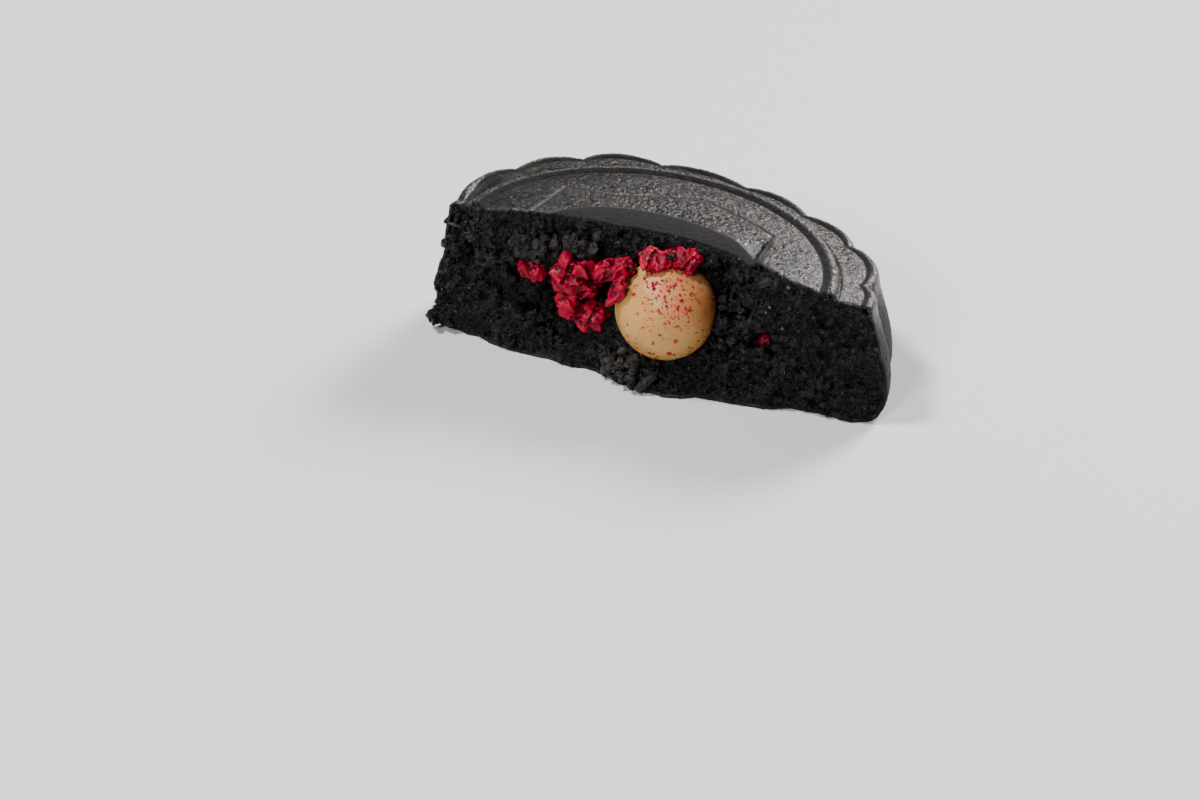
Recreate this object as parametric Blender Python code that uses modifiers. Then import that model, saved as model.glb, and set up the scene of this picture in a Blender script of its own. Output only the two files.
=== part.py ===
"""Half of a round black mooncake, broken across the middle.

Units are metres, +Z is up, and the half stands flat on z = 0. X runs along the break and +Y runs back
from it. The shapes are worked out round the axis of the whole cake, and moved at the end so that the
origin lies under the middle of the half.
"""
import math

import bmesh
import bpy
from mathutils import Euler, Matrix, Vector, noise

MM = 0.001

# Whole cake, measured from its axis
TOP_HEIGHT = 25.5 * MM
DOME_RISE = 1.7 * MM
DOME_FALL = 4.3 * MM
DOME_POWER = 4
DOME_REACH = 39.0 * MM
LEAN_ACROSS = -0.0395
LEAN_BACK = -0.0302
RIM_RADIUS = 39.0 * MM

# Middle field, as the radii at which its profile is set out
FIELD_STEPS = (0.0, 4.0 * MM, 8.0 * MM, 12.0 * MM, 16.0 * MM, 20.0 * MM, 24.0 * MM, 27.5 * MM)

# Raised ring round the middle field: its shape as shares of its width and height, with a crease outside
FIELD_RADIUS = 31.0 * MM
RING_WIDTH = 3.4 * MM
RING_HEIGHT = 0.6 * MM
RING_SHAPE = ((0.0, 0.0), (0.09, -0.2), (0.28, 0.35), (0.48, 0.9), (0.62, 1.0), (0.77, 0.85), (0.90, 0.2))
CREASE_DEPTH = 0.14 * MM
CREASE_INSIDE = 0.15 * MM
CREASE_OUTSIDE = 0.35 * MM

# Raised bead along the scalloped rim: its shape, and the share of its height that is left in a notch
BEAD_WIDTH = 2.2 * MM
BEAD_HEIGHT = 0.95 * MM
BEAD_SHAPE = ((0.0, 0.0), (0.20, 0.55), (0.42, 0.95), (0.66, 1.0), (0.87, 0.55), (1.0, -0.3))
BEAD_IN_NOTCH = 0.45

# Scallops: the angle of the notch before each one, its distance from the axis, and how far the scallop
# stands out beyond it. The rest of the way round, on the half that is gone, they are alike.
SCALLOPS = (
    (-3.0, 38.4 * MM, 1.7 * MM),
    (17.0, 39.8 * MM, 2.0 * MM),
    (38.6, 40.2 * MM, 1.2 * MM),
    (58.2, 38.8 * MM, 1.0 * MM),
    (79.3, 38.9 * MM, 0.8 * MM),
    (104.7, 40.1 * MM, 1.9 * MM),
    (126.0, 41.1 * MM, 1.3 * MM),
    (146.0, 40.4 * MM, 1.8 * MM),
    (171.5, 37.0 * MM, 1.2 * MM),
    (192.0, 36.0 * MM, 1.5 * MM),
)
HIDDEN_SCALLOPS = 8
STEPS_PER_SCALLOP = 11
SCALLOP_SQUARENESS = 0.75

# Side wall, at shares of the rim's height: how far it swells beyond the rim, and more on the right
SWELL_SKEW = 0.16
WALL_SWELL = (
    (0.94, 0.2 * MM),
    (0.82, 0.9 * MM),
    (0.68, 1.8 * MM),
    (0.52, 2.7 * MM),
    (0.36, 3.3 * MM),
    (0.22, 3.4 * MM),
    (0.11, 3.1 * MM),
    (0.04, 2.4 * MM),
    (0.0, 1.4 * MM),
)

# Pressed panel in the middle field, as corners (x, y). Its floor is sunk a little all over, and bends
# down more towards the broken edge. A sloping wall closes it on the right. The slab that cuts it reaches
# from SLAB_LOW to SLAB_HIGH, and overlaps the wedge that cuts the wall.
PANEL_CORNERS = (
    (-22.6 * MM, -6.0 * MM),
    (-20.5 * MM, 15.6 * MM),
    (-12.1 * MM, 15.3 * MM),
    (2.6 * MM, 23.4 * MM),
    (11.4 * MM, 20.1 * MM),
    (18.4 * MM, 16.6 * MM),
    (20.2 * MM, -6.0 * MM),
)
PANEL_DEPTH = 0.12 * MM
SLAB_LOW = 18.0 * MM
SLAB_HIGH = 36.0 * MM
PANEL_WALL_WIDTH = 1.0 * MM
WEDGE_OVERLAP = 0.05 * MM
WEDGE_ABOVE = 2.0
BEND_CENTRE = 2.0 * MM
BEND_HALF_LENGTH = 22.0 * MM
BEND_REACH = 12.0 * MM
BEND_DROP = 0.75 * MM

# Break: how far back it lies along the top edge and along the base, as (x, y)
BREAK_TOP = (
    (-46.0 * MM, 4.5 * MM),
    (-36.0 * MM, 3.4 * MM),
    (-29.0 * MM, 1.2 * MM),
    (-20.0 * MM, 2.8 * MM),
    (-10.0 * MM, 5.0 * MM),
    (5.0 * MM, 6.7 * MM),
    (16.0 * MM, 5.7 * MM),
    (26.0 * MM, 2.5 * MM),
    (33.0 * MM, 2.9 * MM),
    (40.0 * MM, 3.7 * MM),
    (50.0 * MM, 6.0 * MM),
)
BREAK_BASE = (
    (-46.0 * MM, 3.4 * MM),
    (-38.0 * MM, 1.8 * MM),
    (-31.0 * MM, 1.4 * MM),
    (-24.0 * MM, -0.6 * MM),
    (-8.0 * MM, -1.4 * MM),
    (2.0 * MM, -3.3 * MM),
    (9.0 * MM, -3.1 * MM),
    (17.0 * MM, -1.0 * MM),
    (30.0 * MM, 1.7 * MM),
    (38.0 * MM, 2.0 * MM),
    (43.0 * MM, 4.4 * MM),
    (50.0 * MM, 8.0 * MM),
)

# Block that cuts the break: the step of its grid, its size, and where its middle lies along X
BREAK_STEP = 1.5 * MM
BREAK_LENGTH = 96.0 * MM
BREAK_TALL = 33.0 * MM
BREAK_FRONT = 60.0 * MM
BREAK_MIDDLE = 2.0 * MM

# Crumb relief: size of the lumps and how far they stand out. Near the top edge they are calmer.
COARSE_LUMP = 6.0 * MM
COARSE_RELIEF = 1.0 * MM
FINE_LUMP = 2.6 * MM
FINE_RELIEF = 0.95 * MM
LUMP_OFFSET = Vector((0.31, 0.47, 0.23))
CALM_SHARE = 0.25
CALM_REACH = 4.0 * MM

# Hollows (positive depth) and clumps (negative depth) in the break: x, z, half width, half height and
# depth. Each fades out at FEATURE_EDGE times its half size.
BREAK_FEATURES = (
    (-7.8 * MM, 15.8 * MM, 2.6 * MM, 3.2 * MM, 3.2 * MM),
    (12.2 * MM, 19.5 * MM, 2.4 * MM, 4.6 * MM, 2.6 * MM),
    (21.9 * MM, 12.2 * MM, 2.9 * MM, 2.6 * MM, 3.0 * MM),
    (-20.5 * MM, 10.5 * MM, 7.0 * MM, 4.5 * MM, 2.0 * MM),
    (-16.5 * MM, 16.5 * MM, 2.2 * MM, 2.6 * MM, 1.6 * MM),
    (-20.4 * MM, 21.0 * MM, 4.6 * MM, 2.6 * MM, -1.5 * MM),
    (-12.8 * MM, 23.2 * MM, 2.8 * MM, 2.6 * MM, -1.5 * MM),
    (-1.2 * MM, 3.4 * MM, 5.6 * MM, 3.4 * MM, -1.3 * MM),
    (22.0 * MM, 24.0 * MM, 1.8 * MM, 1.3 * MM, -0.9 * MM),
    (-37.5 * MM, 2.6 * MM, 3.0 * MM, 2.0 * MM, -1.6 * MM),
)
FEATURE_EDGE = 1.3

# Nut in the break: a ball stretched along X, Y and Z, and fuller towards one side
NUT_CENTRE = Vector((3.3 * MM, 4.0 * MM, 13.5 * MM))
NUT_RADIUS = 9.1 * MM
NUT_STRETCH = Vector((1.0, 0.97, 0.99))
NUT_FULLNESS = 0.05
NUT_FULL_SIDE = Vector((0.6, -0.2, -0.75)).normalized()
NUT_SEGMENTS = 28
NUT_RINGS = 16

# Berry pieces: name, centre and half sizes in mm, turn in degrees, pinch between lobes, seed of the
# folds, and how many times the ball is subdivided
BERRIES = (
    ("berry_left_tip", (-21.0, 1.0, 16.7), (2.7, 2.2, 2.1), (0, 12, 0), 0.35, 3, 3),
    ("berry_left_large", (-12.5, 0.6, 17.2), (4.4, 3.4, 4.2), (0, 35, 10), 0.10, 11, 3),
    ("berry_left_low", (-11.1, 1.0, 10.9), (5.4, 3.2, 3.2), (0, 18, 0), 0.28, 23, 3),
    ("berry_mid_high", (-5.6, 1.2, 20.3), (4.0, 2.6, 2.2), (0, -18, 0), 0.20, 31, 3),
    ("berry_flake", (-3.7, -1.7, 18.2), (1.5, 1.1, 3.3), (0, 24, -32), 0.0, 43, 2),
    ("berry_top_left", (1.3, 2.0, 23.4), (2.7, 2.5, 1.7), (38, 10, 0), 0.15, 59, 3),
    ("berry_top_right", (5.6, 4.7, 23.1), (3.3, 2.8, 1.7), (32, 4, 0), 0.12, 67, 3),
    ("berry_right_bit", (21.8, 3.6, 11.6), (1.1, 1.1, 1.5), (0, 10, 0), 0.0, 71, 2),
)
BERRY_CRUMPLE = 0.20
BERRY_CRUMPLE_SIZE = 2.4 * MM
BERRY_FULLNESS = 0.4
BERRY_CREASE = 2.2
BERRY_CREASE_FINENESS = 1.9
BERRY_WAIST = 0.35

# Gap between pieces. A berry's socket is grown by a little more, as its flat sides lie inside its corners.
GAP = 0.32 * MM
SOCKET_GROWTH = 1.25

# Limits: corners joined when the profile is turned, and when a cut is cleaned, and what counts as flat
MERGE = 0.01 * MM
WELD = 0.0005 * MM
FLAT = 0.001 * MM
FACING_DOWN = -0.999

# Origin of the half, seen from the axis of the whole cake
ORIGIN = Vector((1.923 * MM, 19.381 * MM, 0.0))

# Colours, how rough each is, and the angle beyond which an edge is drawn sharp
BLACK_CRUST = (0.030, 0.029, 0.030, 1.0)
NUT_CREAM = (0.70, 0.50, 0.29, 1.0)
BERRY_RED = (0.42, 0.012, 0.035, 1.0)
CRUST_ROUGHNESS = 0.75
NUT_ROUGHNESS = 0.35
BERRY_ROUGHNESS = 0.4
SHARP_ANGLE = math.radians(35.0)


def clear_scene():
    for thing in list(bpy.data.objects):
        bpy.data.objects.remove(thing, do_unlink=True)


def make_collection(name):
    group = bpy.data.collections.new(name)
    bpy.context.scene.collection.children.link(group)
    return group


def make_material(name, colour, roughness):
    material = bpy.data.materials.new(name)
    material.use_nodes = True
    shader = material.node_tree.nodes["Principled BSDF"]
    shader.inputs["Base Color"].default_value = colour
    shader.inputs["Roughness"].default_value = roughness
    shader.inputs["Metallic"].default_value = 0.0
    return material


def add_object(name, mesh, group):
    thing = bpy.data.objects.new(name, mesh)
    group.objects.link(thing)
    return thing


def ease(share):
    """Goes from 0 to 1 smoothly as share does."""
    share = min(max(share, 0.0), 1.0)
    return share * share * (3.0 - 2.0 * share)


def follow(points, x):
    """Height of a smooth curve through points (x, y), level beyond its ends."""
    if x <= points[0][0]:
        return points[0][1]
    if x >= points[-1][0]:
        return points[-1][1]
    index = max(index for index, point in enumerate(points) if point[0] <= x)
    before = points[max(index - 1, 0)]
    start = points[index]
    end = points[index + 1]
    after = points[min(index + 2, len(points) - 1)]
    length = end[0] - start[0]
    slope_start = (end[1] - before[1]) / (end[0] - before[0]) * length
    slope_end = (after[1] - start[1]) / (after[0] - start[0]) * length
    share = (x - start[0]) / length
    rise = ease(share)
    lift = share * (1.0 - share)
    bend = lift * ((1.0 - share) * slope_start - share * slope_end)
    return start[1] + (end[1] - start[1]) * rise + bend


def dome(radius):
    """Height of the plain domed top at a distance from the axis."""
    return TOP_HEIGHT + DOME_RISE - DOME_FALL * (radius / DOME_REACH) ** DOME_POWER


def ring_profile():
    """Raised ring: a long inner slope, a round crest and a crease outside it."""
    points = []
    for share, height in RING_SHAPE:
        radius = FIELD_RADIUS + share * RING_WIDTH
        points.append((radius, dome(radius) + height * RING_HEIGHT))
    outside = FIELD_RADIUS + RING_WIDTH
    points.append((outside - CREASE_INSIDE, dome(outside) - CREASE_DEPTH))
    points.append((outside + CREASE_OUTSIDE, dome(outside)))
    return points


def bead_profile():
    """Raised bead: a steep inner slope and a round crest that turns over into the wall."""
    start = RIM_RADIUS - BEAD_WIDTH
    return [(start + share * BEAD_WIDTH, height * BEAD_HEIGHT) for share, height in BEAD_SHAPE]


def scallop_corners():
    """Angle, notch radius and scallop height of every scallop round the cake, and the first one again."""
    corners = [(math.radians(angle), radius, height) for angle, radius, height in SCALLOPS]
    first_angle, first_radius, first_height = corners[0]
    last_angle, last_radius, last_height = corners[-1]
    gap = (first_angle + 2.0 * math.pi - last_angle) / HIDDEN_SCALLOPS
    for index in range(1, HIDDEN_SCALLOPS + 1):
        share = index / HIDDEN_SCALLOPS
        radius = last_radius + (first_radius - last_radius) * share
        corners.append((last_angle + gap * index, radius, last_height))
    return corners


def outline_at(corners, step):
    """Angle, outline radius and roundness (0 in a notch, 1 in mid scallop) of a step round the cake."""
    lobe, inside = divmod(step, STEPS_PER_SCALLOP)
    share = inside / STEPS_PER_SCALLOP
    angle0, radius0, height = corners[lobe]
    angle1, radius1, _ = corners[lobe + 1]
    round_off = math.sin(math.pi * share) ** SCALLOP_SQUARENESS
    radius = radius0 + (radius1 - radius0) * ease(share) + height * round_off
    return angle0 + (angle1 - angle0) * share, radius, round_off


def lean(x, y):
    """Share of the full height that the cake has here: it is thinner to the right and to the back."""
    return 1.0 + (LEAN_ACROSS * x + LEAN_BACK * y) / TOP_HEIGHT


def panel_depth(x, y):
    """How deep the pressed panel's floor lies: a little all over, more towards the broken edge."""
    along = 1.0 - ((x - BEND_CENTRE) / BEND_HALF_LENGTH) ** 2
    if along <= 0.0:
        return PANEL_DEPTH
    reach = BEND_REACH * math.sqrt(along)
    return PANEL_DEPTH + BEND_DROP * ease((reach - y) / reach)


def turned_cake(group):
    """Whole cake: a profile turned round the axis, then pushed out into scallops."""
    field = [(radius, dome(radius)) for radius in FIELD_STEPS]
    bead = [(radius, dome(radius) + height) for radius, height in bead_profile()]
    rim_height = dome(RIM_RADIUS)
    wall = [(RIM_RADIUS + swell, rim_height * share) for share, swell in WALL_SWELL]
    points = field + ring_profile() + bead + wall + [(0.0, 0.0)]

    mesh = bpy.data.meshes.new("cake_profile")
    edges = [(index, index + 1) for index in range(len(points) - 1)]
    mesh.from_pydata([(radius, 0.0, height) for radius, height in points], edges, [])
    profile = add_object("cake_profile", mesh, group)
    corners = scallop_corners()
    steps = (len(corners) - 1) * STEPS_PER_SCALLOP
    screw = profile.modifiers.new("turn", "SCREW")
    screw.angle = 2.0 * math.pi
    screw.steps = steps
    screw.render_steps = steps
    screw.use_merge_vertices = True
    screw.merge_threshold = MERGE

    turned = bpy.data.meshes.new_from_object(profile.evaluated_get(bpy.context.evaluated_depsgraph_get()))
    bpy.data.objects.remove(profile, do_unlink=True)
    for vertex in turned.vertices:
        turn = math.atan2(vertex.co.y, vertex.co.x) % (2.0 * math.pi)
        step = round(turn / (2.0 * math.pi) * steps) % steps
        vertex.co = scalloped(vertex.co, outline_at(corners, step))
    return turned


def scalloped(point, outline):
    """Where a point of the turned cake lies on the scalloped, leaning and bent one."""
    radius = math.hypot(point.x, point.y)
    height = point.z
    angle, outline_radius, round_off = outline
    ring_outside = FIELD_RADIUS + RING_WIDTH
    bead_start = RIM_RADIUS - BEAD_WIDTH
    weight = ease((radius - ring_outside) / (bead_start - ring_outside))
    if radius > RIM_RADIUS:
        radius += (radius - RIM_RADIUS) * SWELL_SKEW * math.cos(angle)
    elif radius > bead_start:
        kept = BEAD_IN_NOTCH + (1.0 - BEAD_IN_NOTCH) * round_off
        height = dome(radius) + (height - dome(radius)) * kept
    radius += (outline_radius - RIM_RADIUS) * weight
    x = radius * math.cos(angle)
    y = radius * math.sin(angle)
    return Vector((x, y, height * lean(x, y)))


def break_place(x, z):
    """How far back the broken face lies at a place, with its lumps, hollows and clumps."""
    share = z / TOP_HEIGHT
    place = follow(BREAK_BASE, x) * (1.0 - share) + follow(BREAK_TOP, x) * share
    here = Vector((x, 0.0, z))
    calm = CALM_SHARE + (1.0 - CALM_SHARE) * ease((TOP_HEIGHT - z) / CALM_REACH)
    place += calm * COARSE_RELIEF * noise.noise(here / COARSE_LUMP + LUMP_OFFSET)
    place += calm * FINE_RELIEF * noise.noise(here / FINE_LUMP + LUMP_OFFSET)
    for centre_x, centre_z, half_width, half_height, depth in BREAK_FEATURES:
        away = math.hypot((x - centre_x) / half_width, (z - centre_z) / half_height)
        place += depth * ease(FEATURE_EDGE - away)
    return place


def break_cutter(group):
    """Block in front of the broken face: an upright grid shaped by break_place, drawn out forwards."""
    columns = round(BREAK_LENGTH / BREAK_STEP)
    rows = round(BREAK_TALL / BREAK_STEP)
    shape = bmesh.new()
    bmesh.ops.create_grid(shape, x_segments=columns, y_segments=rows, size=0.5)
    for vertex in shape.verts:
        x = vertex.co.x * BREAK_LENGTH + BREAK_MIDDLE
        z = vertex.co.y * BREAK_TALL + TOP_HEIGHT / 2.0
        vertex.co = (x, break_place(x, z), z)
    drawn = bmesh.ops.extrude_face_region(shape, geom=shape.faces[:], use_keep_orig=True)
    for part in drawn["geom"]:
        if isinstance(part, bmesh.types.BMVert):
            part.co.y = -BREAK_FRONT
    bmesh.ops.recalc_face_normals(shape, faces=shape.faces)
    mesh = bpy.data.meshes.new("break_cutter")
    shape.to_mesh(mesh)
    shape.free()
    return hide_cutter(add_object("break_cutter", mesh, group))


def prism(name, corners, low, high, group):
    """Upright prism on corners (x, y)."""
    shape = bmesh.new()
    base = shape.faces.new([shape.verts.new((x, y, low)) for x, y in corners])
    drawn = bmesh.ops.extrude_face_region(shape, geom=[base], use_keep_orig=True)
    for part in drawn["geom"]:
        if isinstance(part, bmesh.types.BMVert):
            part.co.z = high
    bmesh.ops.recalc_face_normals(shape, faces=shape.faces)
    mesh = bpy.data.meshes.new(name)
    shape.to_mesh(mesh)
    shape.free()
    return add_object(name, mesh, group)


def panel_cutter(cake_mesh, group):
    """Slab over the pressed panel: a prism on its corners, with the lowered top of the cake taken off."""
    slab = prism("panel_cutter", PANEL_CORNERS, SLAB_LOW, SLAB_HIGH, group)
    floor_mesh = cake_mesh.copy()
    for vertex in floor_mesh.vertices:
        vertex.co.z -= panel_depth(vertex.co.x, vertex.co.y)
    floor = hide_cutter(add_object("panel_floor", floor_mesh, group))
    subtract(slab, floor, "floor")
    apply_modifiers(slab)
    return hide_cutter(slab)


def panel_wall_cutter(group):
    """Wedge along the right side of the panel: its underside slopes up to the right."""
    corners = []
    for x, y in PANEL_CORNERS[-2:]:
        depth = panel_depth(x, y)
        surface = dome(math.hypot(x, y)) * lean(x, y)
        slope = PANEL_WALL_WIDTH / (BEND_DROP + PANEL_DEPTH)
        above = depth * WEDGE_ABOVE
        corners.append((x - WEDGE_OVERLAP, y, surface - depth))
        corners.append((x - WEDGE_OVERLAP, y, surface + above))
        corners.append((x + slope * (depth + above), y, surface + above))
    shape = bmesh.new()
    for corner in corners:
        shape.verts.new(corner)
    bmesh.ops.convex_hull(shape, input=shape.verts)
    bmesh.ops.recalc_face_normals(shape, faces=shape.faces)
    mesh = bpy.data.meshes.new("panel_wall_cutter")
    shape.to_mesh(mesh)
    shape.free()
    return hide_cutter(add_object("panel_wall_cutter", mesh, group))


def hide_cutter(thing):
    thing.display_type = "WIRE"
    thing.hide_render = True
    return thing


def subtract(thing, cutter, name):
    cut = thing.modifiers.new(name, "BOOLEAN")
    cut.operation = "DIFFERENCE"
    cut.solver = "EXACT"
    cut.object = cutter
    return cut


def apply_modifiers(thing):
    """Replaces the object's mesh by what its modifiers make of it."""
    bpy.context.view_layer.update()
    done = bpy.data.meshes.new_from_object(thing.evaluated_get(bpy.context.evaluated_depsgraph_get()))
    thing.modifiers.clear()
    thing.data = done


def keep_largest_body(mesh):
    """Drops the loose scraps that a cut has left, and returns how many bodies there were."""
    shape = bmesh.new()
    shape.from_mesh(mesh)
    bmesh.ops.remove_doubles(shape, verts=shape.verts, dist=WELD)
    left = set(shape.verts)
    bodies = []
    while left:
        reached = {left.pop()}
        front = list(reached)
        while front:
            vertex = front.pop()
            for edge in vertex.link_edges:
                other = edge.other_vert(vertex)
                if other not in reached:
                    reached.add(other)
                    front.append(other)
        left -= reached
        bodies.append(reached)
    bodies.sort(key=len)
    for scrap in bodies[:-1]:
        bmesh.ops.delete(shape, geom=list(scrap), context="VERTS")
    shape.to_mesh(mesh)
    shape.free()
    return len(bodies)


def merge_flat_base(mesh):
    """Joins the flat faces of the base into one."""
    shape = bmesh.new()
    shape.from_mesh(mesh)
    flat = [edge for edge in shape.edges if all(abs(vertex.co.z) < FLAT for vertex in edge.verts)]
    inner = [edge for edge in flat if all(face.normal.z < FACING_DOWN for face in edge.link_faces)]
    bmesh.ops.dissolve_edges(shape, edges=inner, use_verts=False)
    bmesh.ops.triangulate(shape, faces=[face for face in shape.faces if len(face.verts) > 4])
    shape.to_mesh(mesh)
    shape.free()


def grown_hull(mesh, name, group):
    """Smooth-sided cutter that holds a piece and the gap round it."""
    middle = sum((vertex.co for vertex in mesh.vertices), Vector()) / len(mesh.vertices)
    shape = bmesh.new()
    for vertex in mesh.vertices:
        outward = (vertex.co - middle).normalized()
        shape.verts.new(vertex.co + outward * GAP * SOCKET_GROWTH)
    hull = bmesh.ops.convex_hull(shape, input=shape.verts)
    inside = hull["geom_interior"] + hull["geom_unused"]
    corners = {part for part in inside if isinstance(part, bmesh.types.BMVert)}
    bmesh.ops.delete(shape, geom=list(corners), context="VERTS")
    bmesh.ops.recalc_face_normals(shape, faces=shape.faces)
    grown = bpy.data.meshes.new(name)
    shape.to_mesh(grown)
    shape.free()
    return hide_cutter(add_object(name, grown, group))


def make_nut(name, extra, group):
    """Kernel: a ball a little flattened, and fuller low on its right side."""
    shape = bmesh.new()
    bmesh.ops.create_uvsphere(shape, u_segments=NUT_SEGMENTS, v_segments=NUT_RINGS, radius=1.0)
    for vertex in shape.verts:
        direction = vertex.co.normalized()
        fuller = 1.0 + NUT_FULLNESS * direction.dot(NUT_FULL_SIDE)
        reach = NUT_RADIUS * fuller + extra
        stretched = Vector(part * stretch for part, stretch in zip(direction, NUT_STRETCH))
        vertex.co = NUT_CENTRE + stretched * reach
    mesh = bpy.data.meshes.new(name)
    shape.to_mesh(mesh)
    shape.free()
    mesh.shade_smooth()
    return add_object(name, mesh, group)


def berry_mesh(name, centre, half_sizes, turn, pinch, seed, steps):
    """Dried berry piece: a ball crumpled into lobes and folds, then turned into place."""
    shape = bmesh.new()
    bmesh.ops.create_icosphere(shape, subdivisions=steps, radius=1.0)
    offset = Vector((seed * 1.7, seed * 0.9, seed * 2.3))
    rotation = Euler([math.radians(angle) for angle in turn]).to_matrix()
    for vertex in shape.verts:
        direction = vertex.co.normalized()
        scaled = Vector(part * size * MM for part, size in zip(direction, half_sizes))
        folds = noise.noise(scaled / BERRY_CRUMPLE_SIZE + offset)
        creases = abs(noise.noise(scaled / BERRY_CRUMPLE_SIZE * BERRY_CREASE_FINENESS + offset * 2.0))
        swell = 1.0 + BERRY_CRUMPLE * (folds + BERRY_FULLNESS - BERRY_CREASE * creases)
        waist = 1.0 - pinch * math.exp(-(direction.x / BERRY_WAIST) ** 2)
        scaled *= swell
        scaled.y *= waist
        scaled.z *= waist
        vertex.co = rotation @ scaled + Vector(centre) * MM
    mesh = bpy.data.meshes.new(name)
    shape.to_mesh(mesh)
    shape.free()
    return mesh


def move_to_origin(group):
    for thing in group.objects:
        thing.data.transform(Matrix.Translation(-ORIGIN))


def build():
    clear_scene()
    parts = make_collection("mooncake_half")
    cutters = make_collection("cutters")

    cake_mesh = turned_cake(parts)
    cake = add_object("cake_half", cake_mesh, parts)
    subtract(cake, panel_cutter(cake_mesh, cutters), "panel")
    subtract(cake, panel_wall_cutter(cutters), "panel wall")
    subtract(cake, break_cutter(cutters), "break")
    socket = hide_cutter(make_nut("nut_socket", GAP, cutters))
    subtract(cake, socket, "nut socket")

    nut = make_nut("nut", 0.0, parts)
    nut.data.materials.append(make_material("nut_cream", NUT_CREAM, NUT_ROUGHNESS))

    red = make_material("berry_red", BERRY_RED, BERRY_ROUGHNESS)
    neighbours = [socket]
    for name, centre, half_sizes, turn, pinch, seed, steps in BERRIES:
        berry = add_object(name, berry_mesh(name, centre, half_sizes, turn, pinch, seed, steps), parts)
        berry.data.materials.append(red)
        for index, neighbour in enumerate(neighbours):
            subtract(berry, neighbour, f"gap {index}")
        apply_modifiers(berry)
        keep_largest_body(berry.data)
        hull = grown_hull(berry.data, name + "_socket", cutters)
        subtract(cake, hull, name)
        neighbours.append(hull)

    apply_modifiers(cake)
    bodies = keep_largest_body(cake.data)
    merge_flat_base(cake.data)
    cake.data.materials.clear()
    cake.data.materials.append(make_material("black_crust", BLACK_CRUST, CRUST_ROUGHNESS))
    cake.data.shade_smooth()
    cake.data.set_sharp_from_angle(angle=SHARP_ANGLE)
    move_to_origin(parts)
    for thing in list(parts.objects):
        thing.data.calc_loop_triangles()
        print(thing.name, len(thing.data.loop_triangles), "triangles")
    print("bodies before scraps were dropped:", bodies)


build()
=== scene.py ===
# %% [markdown]
# # Half of a black mooncake
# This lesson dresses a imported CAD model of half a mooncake. The cake was broken by hand, so it has a
# baked crust outside, a crumbly face where it broke, a whole nut and pieces of dried berry in that face.
# The CAD model gives the sizes and places. Every visible piece is modelled again here, finer.

# %% Load the frame
import math

import bpy
import numpy as np
from mathutils import Matrix, Vector, noise


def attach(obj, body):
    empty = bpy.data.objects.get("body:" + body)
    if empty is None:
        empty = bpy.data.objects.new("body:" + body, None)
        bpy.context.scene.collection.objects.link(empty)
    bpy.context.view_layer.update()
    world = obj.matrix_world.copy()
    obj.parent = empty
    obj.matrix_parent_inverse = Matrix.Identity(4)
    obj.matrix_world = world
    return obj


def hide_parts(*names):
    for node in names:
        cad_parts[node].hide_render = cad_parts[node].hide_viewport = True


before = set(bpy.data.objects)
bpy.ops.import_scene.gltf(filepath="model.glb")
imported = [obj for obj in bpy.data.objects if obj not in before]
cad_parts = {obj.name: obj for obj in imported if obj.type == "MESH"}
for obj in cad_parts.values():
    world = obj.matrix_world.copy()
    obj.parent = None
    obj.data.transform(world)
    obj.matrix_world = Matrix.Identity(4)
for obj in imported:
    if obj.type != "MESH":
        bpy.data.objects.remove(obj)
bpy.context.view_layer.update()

MM = 0.001

# %% [markdown]
# ## Sizes of the whole cake
# A mooncake is pressed in a round mould, so its shape is simplest round its own axis. The half's origin
# lies under the middle of what is left, and these numbers say where the axis of the whole cake is from
# there. The dome, the ring, the bead and the scallops are the same as in the CAD model.

# %% Whole cake
AXIS = np.array([-1.923 * MM, -19.381 * MM, 0.0])
TOP_HEIGHT = 25.5 * MM
DOME_RISE = 1.7 * MM
DOME_FALL = 4.3 * MM
DOME_POWER = 4
RIM_RADIUS = 39.0 * MM
LEAN_ACROSS = -0.0395
LEAN_BACK = -0.0302
FIELD_RADIUS = 31.0 * MM
RING_WIDTH = 3.4 * MM
RING_END = FIELD_RADIUS + RING_WIDTH
RING_HEIGHT = 0.85 * MM
RING_SHAPE = ((0.0, 0.0), (0.09, -0.2), (0.28, 0.35), (0.48, 0.9), (0.62, 1.0), (0.77, 0.85), (0.90, 0.2))
CREASE_DEPTH = 0.16 * MM
CREASE_INSIDE = 0.15 * MM
CREASE_OUTSIDE = 0.35 * MM
STRIATION_DEPTH = 0.13 * MM
STRIATION_SIZE = 0.75 * MM
STRIATION_LENGTH = 5.0
BEAD_WIDTH = 2.2 * MM
BEAD_START = RIM_RADIUS - BEAD_WIDTH
BEAD_HEIGHT = 0.95 * MM
BEAD_SHAPE = ((0.0, 0.0), (0.20, 0.55), (0.42, 0.95), (0.66, 1.0), (0.87, 0.55), (1.0, -0.3))
BEAD_IN_NOTCH = 0.45
SWELL_SKEW = 0.16
WALL_SWELL = (
    (0.94, 0.2 * MM), (0.82, 0.9 * MM), (0.68, 1.8 * MM), (0.52, 2.7 * MM), (0.36, 3.3 * MM),
    (0.22, 3.4 * MM), (0.11, 3.1 * MM), (0.04, 2.4 * MM), (0.0, 1.4 * MM),
)
SCALLOPS = (
    (-3.0, 38.4, 1.7), (17.0, 39.8, 2.0), (38.6, 40.2, 1.2), (58.2, 38.8, 1.0), (79.3, 38.9, 0.8),
    (104.7, 40.1, 1.9), (126.0, 41.1, 1.3), (146.0, 40.4, 1.8), (171.5, 37.0, 1.2), (192.0, 36.0, 1.5),
)
HIDDEN_SCALLOPS = 8
SCALLOP_SQUARENESS = 0.75
ROLL_ANGLE = math.radians(170.0)
ROLL_HALF_ANGLE = math.radians(15.0)
ROLL_OUT = 1.2 * MM
ROLL_START = 0.6
ROLL_FADE = 0.25


def ease(share):
    """Goes from 0 to 1 smoothly as share does."""
    share = np.clip(share, 0.0, 1.0)
    return share * share * (3.0 - 2.0 * share)


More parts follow.
